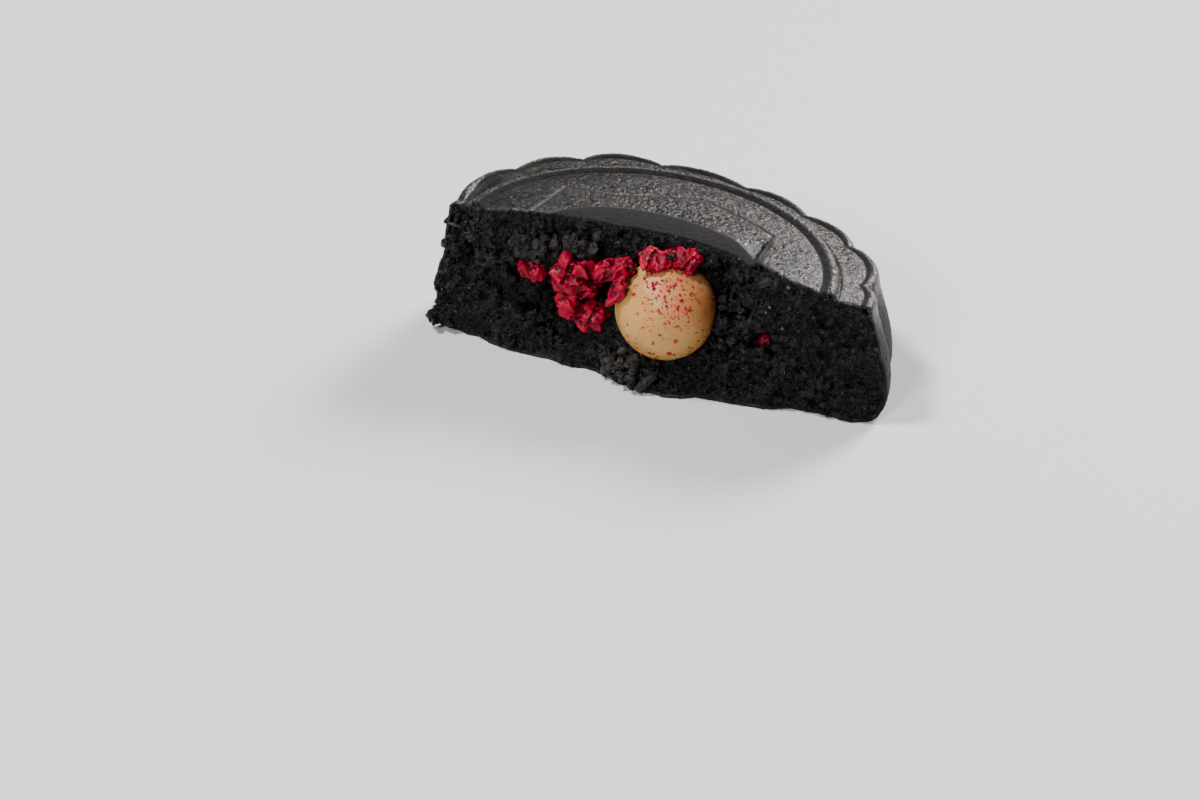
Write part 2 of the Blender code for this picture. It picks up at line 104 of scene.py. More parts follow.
def dome(radius):
    """Height of the plain domed top at a distance from the axis."""
    return TOP_HEIGHT + DOME_RISE - DOME_FALL * (radius / RIM_RADIUS) ** DOME_POWER


def lean(x, y):
    """Share of the full height that the cake has here: it is thinner to the right and to the back."""
    return 1.0 + (LEAN_ACROSS * x + LEAN_BACK * y) / TOP_HEIGHT


def scallop_corners():
    """Angle, notch radius and height of every scallop, with the hidden ones alike, and the first again."""
    corners = [(math.radians(angle), radius * MM, height * MM) for angle, radius, height in SCALLOPS]
    first, last = corners[0], corners[-1]
    gap = (first[0] + math.tau - last[0]) / HIDDEN_SCALLOPS
    for index in range(1, HIDDEN_SCALLOPS + 1):
        radius = last[1] + (first[1] - last[1]) * index / HIDDEN_SCALLOPS
        corners.append((last[0] + gap * index, radius, last[2]))
    return np.array(corners)


CORNERS = scallop_corners()


def stretch_at(stops, place):
    """Index of the stretch between two stops that each place lies in."""
    return np.clip(np.searchsorted(stops, place, side="right") - 1, 0, len(stops) - 2)


def outline(lobe, share):
    """Angle, radius and roundness of the scalloped outline at a share of the way through a scallop."""
    start, end = CORNERS[lobe], CORNERS[lobe + 1]
    round_off = np.sin(math.pi * share) ** SCALLOP_SQUARENESS
    radius = start[..., 1] + (end[..., 1] - start[..., 1]) * ease(share) + start[..., 2] * round_off
    return start[..., 0] + (end[..., 0] - start[..., 0]) * share, radius, round_off


def outline_towards(angle):
    """Radius of the scalloped outline in a direction from the axis."""
    turn = CORNERS[0, 0] + (angle - CORNERS[0, 0]) % math.tau
    lobe = stretch_at(CORNERS[:, 0], turn)
    share = (turn - CORNERS[lobe, 0]) / (CORNERS[lobe + 1, 0] - CORNERS[lobe, 0])
    return outline(lobe, share)[1]


print(len(CORNERS) - 1, "scallops round the whole cake")

# %% [markdown]
# ## The break
# A crumbly cake doesn't break flat: the break wanders, and clumps stay on one side while hollows open on
# the other. Two curves say how far back the break lies along the top edge and along the base. Noise and a
# few named hollows and clumps do the rest, as in the CAD model, so the nut and berries sit as they do there.

# %% Where the break lies
BREAK_TOP = (
    (-46, 4.5), (-36, 3.4), (-29, 1.2), (-20, 2.8), (-10, 5.0), (5, 6.7), (16, 5.7), (26, 2.5), (33, 2.9),
    (40, 3.7), (50, 6.0),
)
BREAK_BASE = (
    (-46, 3.4), (-38, 1.8), (-31, 1.4), (-24, -0.6), (-8, -1.4), (2, -3.3), (9, -3.1), (17, -1.0),
    (30, 1.7), (38, 2.0), (43, 4.4), (50, 8.0),
)
COARSE_LUMP = 6.0 * MM
COARSE_RELIEF = 1.0 * MM
FINE_LUMP = 2.6 * MM
FINE_RELIEF = 0.95 * MM
LUMP_OFFSET = Vector((0.31, 0.47, 0.23))
CALM_SHARE = 0.25
CALM_REACH = 4.0 * MM
BREAK_FEATURES = (
    (-7.8, 15.8, 2.6, 3.2, 3.2), (12.2, 19.5, 2.4, 4.6, 2.6), (21.9, 12.2, 2.9, 2.6, 3.0),
    (-20.5, 10.5, 7.0, 4.5, 2.0), (-16.5, 16.5, 2.2, 2.6, 1.6), (-20.4, 21.0, 4.6, 2.6, -1.5),
    (-12.8, 23.2, 2.8, 2.6, -1.5), (-1.2, 3.4, 5.6, 3.4, -1.3), (22.0, 24.0, 1.8, 1.3, -0.9),
    (-37.5, 2.6, 3.0, 2.0, -1.6),
)
FEATURE_EDGE = 1.3


def bridge(start, end, slopes, share, length=1.0):
    """Smooth curve from start to end that keeps a slope at each end, at a share of the way."""
    bend = share * (1.0 - share) * length * ((1.0 - share) * slopes[0] - share * slopes[1])
    return start + (end - start) * ease(share) + bend


def follow(points, x):
    """Height of a smooth curve through points (x, y) in mm, level beyond its ends."""
    xs, ys = np.array(points, float).T * MM
    x = np.clip(x, xs[0], xs[-1])
    index = stretch_at(xs, x)
    before, after = np.maximum(index - 1, 0), np.minimum(index + 2, len(xs) - 1)
    length = xs[index + 1] - xs[index]
    slope_start = (ys[index + 1] - ys[before]) / (xs[index + 1] - xs[before]) * length
    slope_end = (ys[after] - ys[index]) / (xs[after] - xs[index]) * length
    return bridge(ys[index], ys[index + 1], (slope_start, slope_end), (x - xs[index]) / length)


def noise_at(points, size, offset=LUMP_OFFSET):
    """Smooth noise from -1 to 1 at an array of points."""
    return np.array([noise.noise(Vector(point) / size + offset) for point in points])


def oval_reach(x, z, oval):
    """Distance from an oval's middle, 1 on its edge. The oval is x, z and half sizes, in mm."""
    return np.hypot((x / MM - oval[0]) / oval[2], (z / MM - oval[1]) / oval[3])


def break_line(x, share):
    """How far back the break lies at a share of the full height, without its lumps."""
    return follow(BREAK_BASE, x) * (1.0 - share) + follow(BREAK_TOP, x) * share


def break_place(x, z):
    """How far back the broken face lies at arrays of places, with its lumps, hollows and clumps."""
    place = break_line(x, z / TOP_HEIGHT)
    points = np.stack([x, np.zeros_like(x), z], axis=1)
    calm = CALM_SHARE + (1.0 - CALM_SHARE) * ease((TOP_HEIGHT - z) / CALM_REACH)
    place += calm * COARSE_RELIEF * noise_at(points, COARSE_LUMP)
    place += calm * FINE_RELIEF * noise_at(points, FINE_LUMP)
    for *oval, depth in BREAK_FEATURES:
        place += depth * MM * ease(FEATURE_EDGE - oval_reach(x, z, oval))
    return place


print("break in the middle, top and base, in mm:", follow(BREAK_TOP, 0.0) / MM, follow(BREAK_BASE, 0.0) / MM)

# %% [markdown]
# ## Helpers for edit mode
# An operator acts on what is selected, so each helper selects first: everything off, then the wanted
# vertices by an array of yes and no. Vertex places go in and out of the mesh as one numpy array, measured
# from the cake's axis.

# %% Selecting and moving vertices
SMOOTHING_PASSES = 4


def new_object(name, data):
    """A new object in the scene, from its mesh, light or camera."""
    thing = bpy.data.objects.new(name, data)
    bpy.context.scene.collection.objects.link(thing)
    return thing


def go_to(mode):
    bpy.ops.object.mode_set(mode=mode)


def deselect_all():
    if bpy.context.object and bpy.context.object.mode != "OBJECT":
        go_to("OBJECT")
    bpy.ops.object.select_all(action="DESELECT")


def edit(thing, select="SELECT"):
    """Goes to edit mode with all the vertices selected, or none."""
    bpy.context.view_layer.objects.active = thing
    go_to("EDIT")
    bpy.ops.mesh.select_mode(type="VERT")
    bpy.ops.mesh.select_all(action=select)


def vertex_rows(thing, name):
    found = np.empty(len(thing.data.vertices) * 3)
    thing.data.vertices.foreach_get(name, found)
    return found.reshape(-1, 3)


def places(thing):
    return vertex_rows(thing, "co") - AXIS


def normals(thing):
    return vertex_rows(thing, "normal")


def set_places(thing, co):
    thing.data.vertices.foreach_set("co", (co + AXIS).ravel())
    thing.data.update()


def selected(thing):
    chosen = np.zeros(len(thing.data.vertices), bool)
    thing.data.vertices.foreach_get("select", chosen)
    return chosen


def delete_vertices(thing, chosen):
    """Deletes just these vertices."""
    edit(thing, "DESELECT")
    go_to("OBJECT")
    thing.data.vertices.foreach_set("select", chosen)
    go_to("EDIT")
    bpy.ops.mesh.delete(type="VERT")
    go_to("OBJECT")


def open_edge(thing):
    """Yes for each vertex on an open edge of the mesh, and selects those."""
    edit(thing, "DESELECT")
    bpy.ops.mesh.select_non_manifold(extend=False)
    go_to("OBJECT")
    return selected(thing)


def extrude_open_edge(thing, move):
    """Extrudes the mesh's open edge once and moves the new vertices by an array, worked out from the old."""
    edge = open_edge(thing)
    old = places(thing)[edge]
    shift = move(old, normals(thing)[edge])
    go_to("EDIT")
    bpy.ops.mesh.extrude_edges_move()
    go_to("OBJECT")
    fresh, co = selected(thing), places(thing)
    order = [int(np.argmin(((old - point) ** 2).sum(axis=1))) for point in co[fresh]]
    co[fresh] += shift[order]
    set_places(thing, co)


def close_open_edge(thing, middle):
    """Closes the mesh with a fan from its open edge to one point."""
    extrude_open_edge(thing, lambda old, _: np.array(middle) - old)
    go_to("EDIT")
    bpy.ops.mesh.merge(type="CENTER")
    bpy.ops.mesh.select_all(action="SELECT")
    bpy.ops.mesh.normals_make_consistent(inside=False)
    go_to("OBJECT")


def apply_all(thing):
    bpy.context.view_layer.objects.active = thing
    for modifier in list(thing.modifiers):
        bpy.ops.object.modifier_apply(modifier=modifier.name)


def vertex_group(thing, name, weights):
    """Adds a group that says how strongly a modifier acts at each vertex."""
    group = thing.vertex_groups.new(name=name)
    for index, weight in enumerate(weights):
        group.add([index], float(weight), "REPLACE")


def displace(thing, name, kind, size, strength, middle=0.5, group="", **settings):
    """Pushes the surface out and in along its normals by a procedural texture of that grain size."""
    texture = bpy.data.textures.new(name, kind)
    texture.noise_scale = size
    for key, value in settings.items():
        setattr(texture, key, value)
    modifier = thing.modifiers.new(name, "DISPLACE")
    modifier.texture = texture
    modifier.texture_coords = "LOCAL"
    modifier.strength = strength
    modifier.mid_level = middle
    modifier.vertex_group = group


def mark(thing, name, values):
    """Stores a number for each vertex under a name, for a material to read."""
    thing.data.attributes.new(name, "FLOAT", "POINT").data.foreach_set("value", values)


def mark_hollows(thing, reach):
    """Stores in an attribute how hollow (above 0.5) or ridged (below) the surface is at each vertex."""
    co, out = places(thing), normals(thing)
    ends = np.empty(len(thing.data.edges) * 2, int)
    thing.data.edges.foreach_get("vertices", ends)
    ends = ends.reshape(-1, 2)
    count = np.bincount(ends.ravel(), minlength=len(co)).astype(float)

    def average(values):
        total = np.zeros_like(values)
        np.add.at(total, ends[:, 0], values[ends[:, 1]])
        np.add.at(total, ends[:, 1], values[ends[:, 0]])
        return total / (count[:, None] if values.ndim > 1 else count)

    smooth = co
    for _ in range(SMOOTHING_PASSES):
        smooth = average(smooth)
    hollow = average(((smooth - co) * out).sum(axis=1))
    mark(thing, "hollow", np.clip(0.5 + hollow / reach, 0.0, 1.0))


def triangles(thing):
    thing.data.calc_loop_triangles()
    return len(thing.data.loop_triangles)


# %% [markdown]
# ## The crust
# The crust is a thin skin of dough, pressed in the mould and baked dry. It could be a cylinder with cuts,
# but the real one is a turned shape, so a profile is drawn as a line and spun round the axis. The scallops
# come next, by moving each vertex out to the mould's outline. What lies in front of the break is deleted.

# %% Draw the profile
FIELD_START = 4.0 * MM
FIELD_STEP = 0.27 * MM
RING_STEP = 0.15 * MM
BEAD_STEP = 0.16 * MM
BAND_STEP = 2 * BEAD_STEP
WALL_STEP = 0.5 * MM
BASE_STEP = 2.5 * MM


def smooth_line(points, step):
    """Points about a step apart on a smooth curve through the given ones."""
    points = np.array(points, float)
    along = np.concatenate([[0.0], np.cumsum(np.linalg.norm(np.diff(points, axis=0), axis=1))])
    slopes = np.gradient(points, along, axis=0)
    t = np.linspace(0.0, along[-1], math.ceil(along[-1] / step) + 1)
    index = stretch_at(along, t)
    length = (along[index + 1] - along[index])[:, None]
    share = (t - along[index])[:, None] / length
    return bridge(points[index], points[index + 1], (slopes[index], slopes[index + 1]), share, length)


def moulding(start, width, height, shape):
    """Points of a raised line round the dome, from its shape in shares."""
    return [(start + share * width, dome(start + share * width) + rise * height) for share, rise in shape]


def cake_profile():
    """Radius and height from the middle of the top, out over ring and bead, down the wall and under."""
    field = [(radius, dome(radius)) for radius in np.linspace(FIELD_START, FIELD_RADIUS, 12)]
    ring = moulding(FIELD_RADIUS, RING_WIDTH, RING_HEIGHT, RING_SHAPE)
    ring.append((RING_END - CREASE_INSIDE, dome(RING_END) - CREASE_DEPTH))
    ring.append((RING_END + CREASE_OUTSIDE, dome(RING_END)))
    band = [(radius, dome(radius)) for radius in np.linspace(RING_END + CREASE_OUTSIDE, BEAD_START, 4)]
    bead = moulding(BEAD_START, BEAD_WIDTH, BEAD_HEIGHT, BEAD_SHAPE)
    rim = dome(RIM_RADIUS)
    wall = [bead[-1]] + [(RIM_RADIUS + swell, rim * share) for share, swell in WALL_SWELL]
    base = [wall[-1], (0.0, 0.0)]
    stretches = (
        (field, FIELD_STEP), (ring, RING_STEP), (band, BAND_STEP), (bead, BEAD_STEP), (wall, WALL_STEP),
        (base, BASE_STEP),
    )
    lines = [smooth_line(points, step) for points, step in stretches]
    return np.concatenate([lines[0]] + [line[1:] for line in lines[1:]])


def draw_line(name, points):
    """A line of edges: one vertex, extruded from point to point."""
    deselect_all()
    bpy.ops.mesh.primitive_plane_add(size=MM, location=points[0])
    go_to("EDIT")
    bpy.ops.mesh.merge(type="CENTER")
    for start, end in zip(points, points[1:]):
        bpy.ops.mesh.extrude_region_move(TRANSFORM_OT_translate={"value": end - start})
    go_to("OBJECT")
    bpy.ops.object.transform_apply(location=True, rotation=True, scale=True)
    thing = bpy.context.object
    thing.name = name
    return thing


profile = cake_profile()
crust = draw_line("crust", [Vector((radius, 0.0, height)) + Vector(AXIS) for radius, height in profile])
print("profile of", len(profile), "points")

# %% Spin it and push out the scallops
STEPS_PER_SCALLOP = 36
COLUMNS = STEPS_PER_SCALLOP * (len(CORNERS) - 1)
WELD = 0.01 * MM


def scallop(co):
    """Moves the vertices of the turned cake out to the mould's scallops, and leans the cake."""
    radius = np.hypot(co[:, 0], co[:, 1])
    height = co[:, 2].copy()
    turn = np.arctan2(co[:, 1], co[:, 0]) % math.tau
    step = np.round(turn / math.tau * COLUMNS).astype(int) % COLUMNS
    lobe, rest = np.divmod(step, STEPS_PER_SCALLOP)
    angle, reach, round_off = outline(lobe, rest / STEPS_PER_SCALLOP)
    weight = ease((radius - RING_END) / (BEAD_START - RING_END))
    on_wall = radius > RIM_RADIUS
    on_top = height > TOP_HEIGHT / 2.0
    on_bead = (radius > BEAD_START) & ~on_wall & on_top
    kept = BEAD_IN_NOTCH + (1.0 - BEAD_IN_NOTCH) * round_off
    height = np.where(on_bead, dome(radius) + (height - dome(radius)) * kept, height)
    on_ring = (radius > FIELD_RADIUS + MM) & (radius < RING_END) & on_top
    along_ring = np.stack([angle * FIELD_RADIUS, radius / STRIATION_LENGTH, np.zeros_like(radius)], axis=1)
    height[on_ring] += STRIATION_DEPTH * noise_at(along_ring[on_ring], STRIATION_SIZE)
    swollen = np.where(on_wall, (radius - RIM_RADIUS) * SWELL_SKEW * np.cos(angle), 0.0)
    rolled = ROLL_OUT * ease(1.0 - np.abs(angle - ROLL_ANGLE) / ROLL_HALF_ANGLE)
    rolled *= weight * ease((height / TOP_HEIGHT - ROLL_START) / ROLL_FADE)
    radius = radius + swollen + (reach - RIM_RADIUS) * weight + rolled
    x, y = radius * np.cos(angle), radius * np.sin(angle)
    return np.stack([x, y, height * lean(x, y)], axis=1)


edit(crust)
bpy.ops.mesh.spin(steps=COLUMNS, angle=math.tau, center=AXIS, axis=(0.0, 0.0, 1.0))
bpy.ops.mesh.select_all(action="SELECT")
bpy.ops.mesh.remove_doubles(threshold=WELD)
bpy.ops.mesh.normals_make_consistent(inside=False)
go_to("OBJECT")
set_places(crust, scallop(places(crust)))
print("spun crust:", triangles(crust), "triangles")

# %% [markdown]
# The mould also pressed a many-sided panel into the middle of the top. Its floor lies a hair lower, bends
# down towards the break, and ends at a sloping wall on the right. The depth is worked out at each vertex
# from how far inside the panel's outline it lies.

# %% Press the panel
PANEL_CORNERS = np.array([
    (-22.6, -6.0), (-20.5, 15.6), (-12.1, 15.3), (2.6, 23.4), (11.4, 20.1), (18.4, 16.6), (20.2, -6.0),
]) * MM
PANEL_DEPTH = 0.16 * MM
PANEL_EDGE = 0.35 * MM
PANEL_SLOPE = 1.25
BEND_CENTRE = 2.0 * MM
BEND_HALF_LENGTH = 22.0 * MM
BEND_REACH = 12.0 * MM
BEND_DROP = 1.05 * MM
BEND_EDGE = 0.9 * MM
# Where the crust is made matt and its colour is darkened as painted shade: the strip that bent at the break.
DULL_SHADE_CENTRE = 1.0 * MM
DULL_SHADE_HALF_LENGTH = 20.5 * MM
DULL_SHADE_REACH = 13.6 * MM
DULL_SHADE_EDGE = 0.3 * MM
CREASE_DULL_SHADE = 0.8
WALL_GLOSS_SHADE_END = 0.2 * MM
WALL_GLOSS_SHADE_FADE = 6.5 * MM
PANEL_CREASE = 0.24 * MM
PANEL_CREASE_WIDTH = 0.45 * MM
WEDGE_DROP = 1.2 * MM
WEDGE_START = (12.0 * MM, 16.5 * MM)
WEDGE_REACH = (8.0 * MM, 8.0 * MM)


def panel_depth(x, y):
    """How deep the panel's floor lies: a little all over, more towards the broken edge and the right wall."""
    along = np.clip(1.0 - ((x - BEND_CENTRE) / BEND_HALF_LENGTH) ** 2, 1e-6, 1.0)
    reach = BEND_REACH * np.sqrt(along)
    wedge = ease((x - WEDGE_START[0]) / WEDGE_REACH[0]) * ease((WEDGE_START[1] - y) / WEDGE_REACH[1])
    return PANEL_DEPTH + BEND_DROP * ease((reach - y) / reach) + WEDGE_DROP * wedge


def dull_and_shaded_places(co):
    """1 where the crust is matt and its colour gets painted shade: the strip that bent at the break, the
    inner sides of ring and bead.
    """
    x, y = co[:, 0], co[:, 1]
    radius = np.hypot(x, y)
    inward = outline_towards(np.arctan2(y, x)) - radius
    along = np.clip(1.0 - ((x - DULL_SHADE_CENTRE) / DULL_SHADE_HALF_LENGTH) ** 2, 0.0, 1.0)
    bent = ease((DULL_SHADE_REACH * np.sqrt(along) - y) / BEND_EDGE)
    ring_inside = ease((radius - FIELD_RADIUS) / DULL_SHADE_EDGE)
    ring_inside *= ease((FIELD_RADIUS + 0.5 * RING_WIDTH - radius) / DULL_SHADE_EDGE)
    bead_inside = ease((BEAD_WIDTH + DULL_SHADE_EDGE - inward) / DULL_SHADE_EDGE)
    bead_inside *= ease((inward - 0.6 * BEAD_WIDTH) / DULL_SHADE_EDGE)
    return np.maximum(bent, np.maximum(ring_inside, bead_inside))


def wall_places(co):
    """1 on the cake's side, where it is made rough and its colour gets painted shade, falling to 0 up to the
    rim.
    """
    x, y = co[:, 0], co[:, 1]
    below_rim = dome(np.minimum(np.hypot(x, y), RIM_RADIUS)) * lean(x, y) - co[:, 2]
    return ease((below_rim - WALL_GLOSS_SHADE_END) / WALL_GLOSS_SHADE_FADE)


def inside_panel(x, y):
    """Distance to the panel's outline, positive inside it."""
    nearest = np.full(len(x), 1.0)
    crossings = np.zeros(len(x), int)
    for (x0, y0), (x1, y1) in zip(PANEL_CORNERS, np.roll(PANEL_CORNERS, -1, axis=0)):
        length = (x1 - x0) ** 2 + (y1 - y0) ** 2
        share = np.clip(((x - x0) * (x1 - x0) + (y - y0) * (y1 - y0)) / length, 0.0, 1.0)
        nearest = np.minimum(nearest, np.hypot(x - x0 - share * (x1 - x0), y - y0 - share * (y1 - y0)))
        if y0 != y1:
            across = x0 + (y - y0) / (y1 - y0) * (x1 - x0)
            crossings += ((y0 > y) != (y1 > y)) & (across > x)
    return np.where(crossings % 2 == 1, nearest, -nearest)


co = places(crust)
depth = panel_depth(co[:, 0], co[:, 1])
edge_width = np.maximum(PANEL_EDGE, depth * PANEL_SLOPE)
inside = inside_panel(co[:, 0], co[:, 1])
pressed = depth * ease(inside / edge_width) + PANEL_CREASE * ease(1.0 - np.abs(inside) / PANEL_CREASE_WIDTH)
on_top = co[:, 2] > TOP_HEIGHT / 2.0
co[:, 2] -= np.where(on_top, pressed, 0.0)
set_places(crust, co)
print("panel pressed up to", round(pressed[on_top].max() / MM, 2), "mm")

# %% [markdown]
# Now the break. Vertices in front of it are deleted, and the open edge that is left is moved onto the
# break's line with small chips in it. That edge is extruded inwards for the crust's thickness, then back
# into the cake, and closed there. The crumb will fill what stays open in front.

# %% Break the crust
CHIP_SIZE = 0.8 * MM
CHIP_DEPTH = 0.3 * MM
CRUST_THICKNESS = 0.55 * MM
RECESS = 3.0 * MM
INNER_POINT = (0.0, 12.0 * MM, 12.0 * MM)
BREAK_MIDDLE = 2.0 * MM
BREAK_REACH = 9.0 * MM


def crust_break(co):
    """Break's line on the crust, with chips."""
    place = break_place(co[:, 0], co[:, 2])
    return place + CHIP_DEPTH * noise_at(co, CHIP_SIZE)


co = places(crust)
near = np.abs(co[:, 1] - BREAK_MIDDLE) < BREAK_REACH
line = np.full(len(co), BREAK_MIDDLE)
line[near] = crust_break(co[near])
delete_vertices(crust, co[:, 1] < line)
edge = open_edge(crust)
co = places(crust)
co[edge, 1] = crust_break(co[edge])
set_places(crust, co)
extrude_open_edge(crust, lambda old, out: -out * CRUST_THICKNESS)
extrude_open_edge(crust, lambda old, _: np.full_like(old, (0.0, RECESS, 0.0)))
close_open_edge(crust, INNER_POINT)
print("crust:", triangles(crust), "triangles")

# %% [markdown]
# The baked skin isn't smooth: it is faintly wavy and has small pits. Displace modifiers with procedural
# textures do that in the mesh, and what is finer still is left to the material. The material also has to
# know where the crust is matt and where its colour is darkened as painted shade: in the bent strip, on the
# inner sides of ring and bead, in creases and on the cake's side. Marks tell it.

# %% Waves and pits in the crust
displace(crust, "crust_waves", "CLOUDS", 5.0 * MM, 0.22 * MM)
displace(crust, "crust_leather", "CLOUDS", 0.75 * MM, -0.18 * MM, noise_depth=1, noise_type="HARD_NOISE")
apply_all(crust)
bpy.ops.object.shade_smooth()
mark_hollows(crust, 0.08 * MM)
co = places(crust)
# Painted shade: the panel's crease is marked too, so its colour is darkened there.
in_crease = CREASE_DULL_SHADE * ease(1.0 - np.abs(inside_panel(co[:, 0], co[:, 1])) / PANEL_CREASE_WIDTH)
mark(crust, "dull", np.maximum(dull_and_shaded_places(co), in_crease))
mark(crust, "wall", wall_places(co))
co[:, 2] = np.maximum(co[:, 2], 0.0)
set_places(crust, co)
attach(crust, "root")
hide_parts("cake_half")

# %% [markdown]
# ## The crumb
# The broken face is a dense black crumb. A flat grid is stretched over the cake's cross-section, just
# inside the crust, and pushed onto the break. Layers of displacement then build it up as a baker would
# see it: clumps, grains the size of coarse sand, and pores between them.

# %% Stretch a grid over the broken face
FACE_WIDTH = 84.0 * MM
FACE_HEIGHT = 25.0 * MM
CRUMB_STEP = 0.18 * MM
CRUMB_INSET = 0.3 * MM
CRUMB_CLIP = 0.15 * MM
CORNER_INSET = 0.3 * MM
CORNER_START = 0.6
WALL_PASSES = 8
BASE_INSET = 0.35 * MM
SHARES, SWELLS = np.array(WALL_SWELL[::-1]).T
SHARES, SWELLS = np.append(SHARES, 1.0), np.append(SWELLS, 0.0)


def wall_x(share, side):
    """Where the wall meets the break on the left (-1) or right (1), at shares of the rim's height."""
    x = side * np.full_like(share, RIM_RADIUS)
    for _ in range(WALL_PASSES):
        y = break_line(x, share)
        angle = np.arctan2(y, x)
        swell = np.interp(share, SHARES, SWELLS) * (1.0 + SWELL_SKEW * np.cos(angle))
        x = side * np.sqrt((outline_towards(angle) + swell) ** 2 - y ** 2)
    return x


def crumb_face(across, up):
    """Places on the broken face, from shares across and up."""
    corner = ease((up - CORNER_START) / (1.0 - CORNER_START))
    left = wall_x(up, -1.0) + CRUMB_INSET + CORNER_INSET * corner
    right = wall_x(up, 1.0) - CRUMB_INSET
    x = left + (right - left) * across
    y = follow(BREAK_TOP, x)
    top = dome(np.hypot(x, y)) * lean(x, y) - CRUMB_INSET
    top -= np.where(inside_panel(x, y) > 0.0, panel_depth(x, y), 0.0)
    z = BASE_INSET + (top - BASE_INSET) * up
    return np.stack([x, break_place(x, z), z], axis=1)


deselect_all()
bpy.ops.mesh.primitive_grid_add(
    x_subdivisions=round(FACE_WIDTH / CRUMB_STEP), y_subdivisions=round(FACE_HEIGHT / CRUMB_STEP), size=1.0
)
crumb = bpy.context.object
crumb.name = "crumb"
flat = places(crumb) + AXIS
set_places(crumb, crumb_face(flat[:, 0] + 0.5, flat[:, 1] + 0.5))
print("crumb face:", triangles(crumb), "triangles")

# %% Close the crumb behind, and build up its grain
OPEN_PLACES = (
    (-17.0, 12.0, 9.0, 8.0, 1.0), (14.5, 15.5, 5.5, 9.0, 0.9), (22.0, 12.0, 5.0, 4.0, 0.9),
    (-31.0, 16.0, 8.0, 8.0, 0.6), (0.0, 3.8, 7.0, 3.5, 0.7), (-12.0, 22.0, 12.0, 3.5, 0.6),
    (30.0, 7.0, 9.0, 5.0, 0.3),
)
OPEN_EDGE = 1.5
OPEN_LEAST = 0.12
PORE_SIZES = (2.1 * MM, 0.95 * MM)
PORE_DEPTHS = (0.35 * MM, 3.2 * MM)
PORE_DETAIL = 0.6
PORE_START = 0.42
PORE_SPREAD = 0.40
PORE_EDGE = 0.20
MOAT_WIDTH = 1.5 * MM
MOAT_DEPTH = 3.2 * MM
MOAT_LEAST = 0.25
MOAT_SIDE = (0.8, 0.6)
NUT_CENTRE = np.array([3.3, 4.0, 13.5]) * MM
NUT_RADIUS = 9.1 * MM
CALM_RIM = 1.2 * MM
CRUMB_RECESS = 0.8 * RECESS
CRUMB_POINT = (0.0, 9.0 * MM, 12.0 * MM)


def openness(co):
    """How open the crumb is here: 0 is dense, 1 is loose with large pores."""
    found = np.full(len(co), OPEN_LEAST)
    for *oval, amount in OPEN_PLACES:
        found = np.maximum(found, amount * ease(OPEN_EDGE - oval_reach(co[:, 0], co[:, 2], oval)))
    return found


def pores(co, loose):
    """Depth of the pores: few and shallow in dense crumb, large and deep where it is loose."""
    soft = noise_at(co, PORE_SIZES[0]) + PORE_DETAIL * noise_at(co, PORE_SIZES[1])
    deep = ease((soft - PORE_START + PORE_SPREAD * loose) / PORE_EDGE)
    return deep * (PORE_DEPTHS[0] + (PORE_DEPTHS[1] - PORE_DEPTHS[0]) * loose)


def moat(co):
    """Gap round the nut, widest on its upper right, where the crumb has come away."""
    side, rise = co[:, 0] - NUT_CENTRE[0], co[:, 2] - NUT_CENTRE[2]
    away = np.hypot(side, rise)
    upper_right = 0.5 + 0.5 * (MOAT_SIDE[0] * side + MOAT_SIDE[1] * rise) / np.maximum(away, MM)
    depth = MOAT_DEPTH * (MOAT_LEAST + (1.0 - MOAT_LEAST) * upper_right)
    return depth * ease((NUT_RADIUS + MOAT_WIDTH - away) / MOAT_WIDTH)


co = places(crumb)
rim_distance = (0.5 - np.abs(flat[:, 0])) * FACE_WIDTH
rim_distance = np.minimum(rim_distance, (0.5 - np.abs(flat[:, 1])) * FACE_HEIGHT)
inner = ease(rim_distance / CALM_RIM)
loose = openness(co)
co[:, 1] += inner * pores(co, loose) + moat(co)
set_places(crumb, co)
vertex_group(crumb, "loose", loose * inner)
vertex_group(crumb, "all", OPEN_LEAST + (1.0 - OPEN_LEAST) * inner)
extrude_open_edge(crumb, lambda old, _: np.full_like(old, (0.0, CRUMB_RECESS, 0.0)))
close_open_edge(crumb, CRUMB_POINT)
displace(crumb, "crumb_clumps", "CLOUDS", 2.0 * MM, 2.2 * MM, group="loose", noise_depth=1)
displace(crumb, "crumb_lumps", "VORONOI", 1.5 * MM, -1.1 * MM, group="all")
displace(crumb, "crumb_grains", "VORONOI", 0.62 * MM, -0.5 * MM, group="all")
displace(crumb, "crumb_sand", "CLOUDS", 0.34 * MM, 0.26 * MM, group="all")
apply_all(crumb)
bpy.ops.object.shade_smooth()
mark_hollows(crumb, 0.5 * MM)
co = places(crumb)
share = np.clip(co[:, 2] / TOP_HEIGHT, 0.0, 1.0)
co[:, 0] = np.clip(co[:, 0], wall_x(share, -1.0) + CRUMB_CLIP, wall_x(share, 1.0) - CRUMB_CLIP)
co[:, 2] = np.maximum(co[:, 2], 0.0)
set_places(crumb, co)
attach(crumb, "root")
print("crumb:", triangles(crumb), "triangles")

# %% [markdown]
# ## Loose grains
# Where a cake breaks, grains stay stuck all over the face. One crumpled ball of 20 faces is modelled, and
# thousands of copies, turned and scaled by seeded random numbers, are laid on the crumb in one mesh.

# %% Scatter grains over the crumb
GRAIN_COUNT = 5200
GRAIN_SIZES = (0.14 * MM, 0.50 * MM)
GRAIN_TONES = (0.0, 0.7)
TAN_GRAINS = 9
SPOT_INSET = 0.6 * MM
SPOT_LOWEST = 0.5 * MM
SPOT_DEEPEST = 12.0 * MM
FACING_FRONT = 0.2
rng = np.random.default_rng(8)


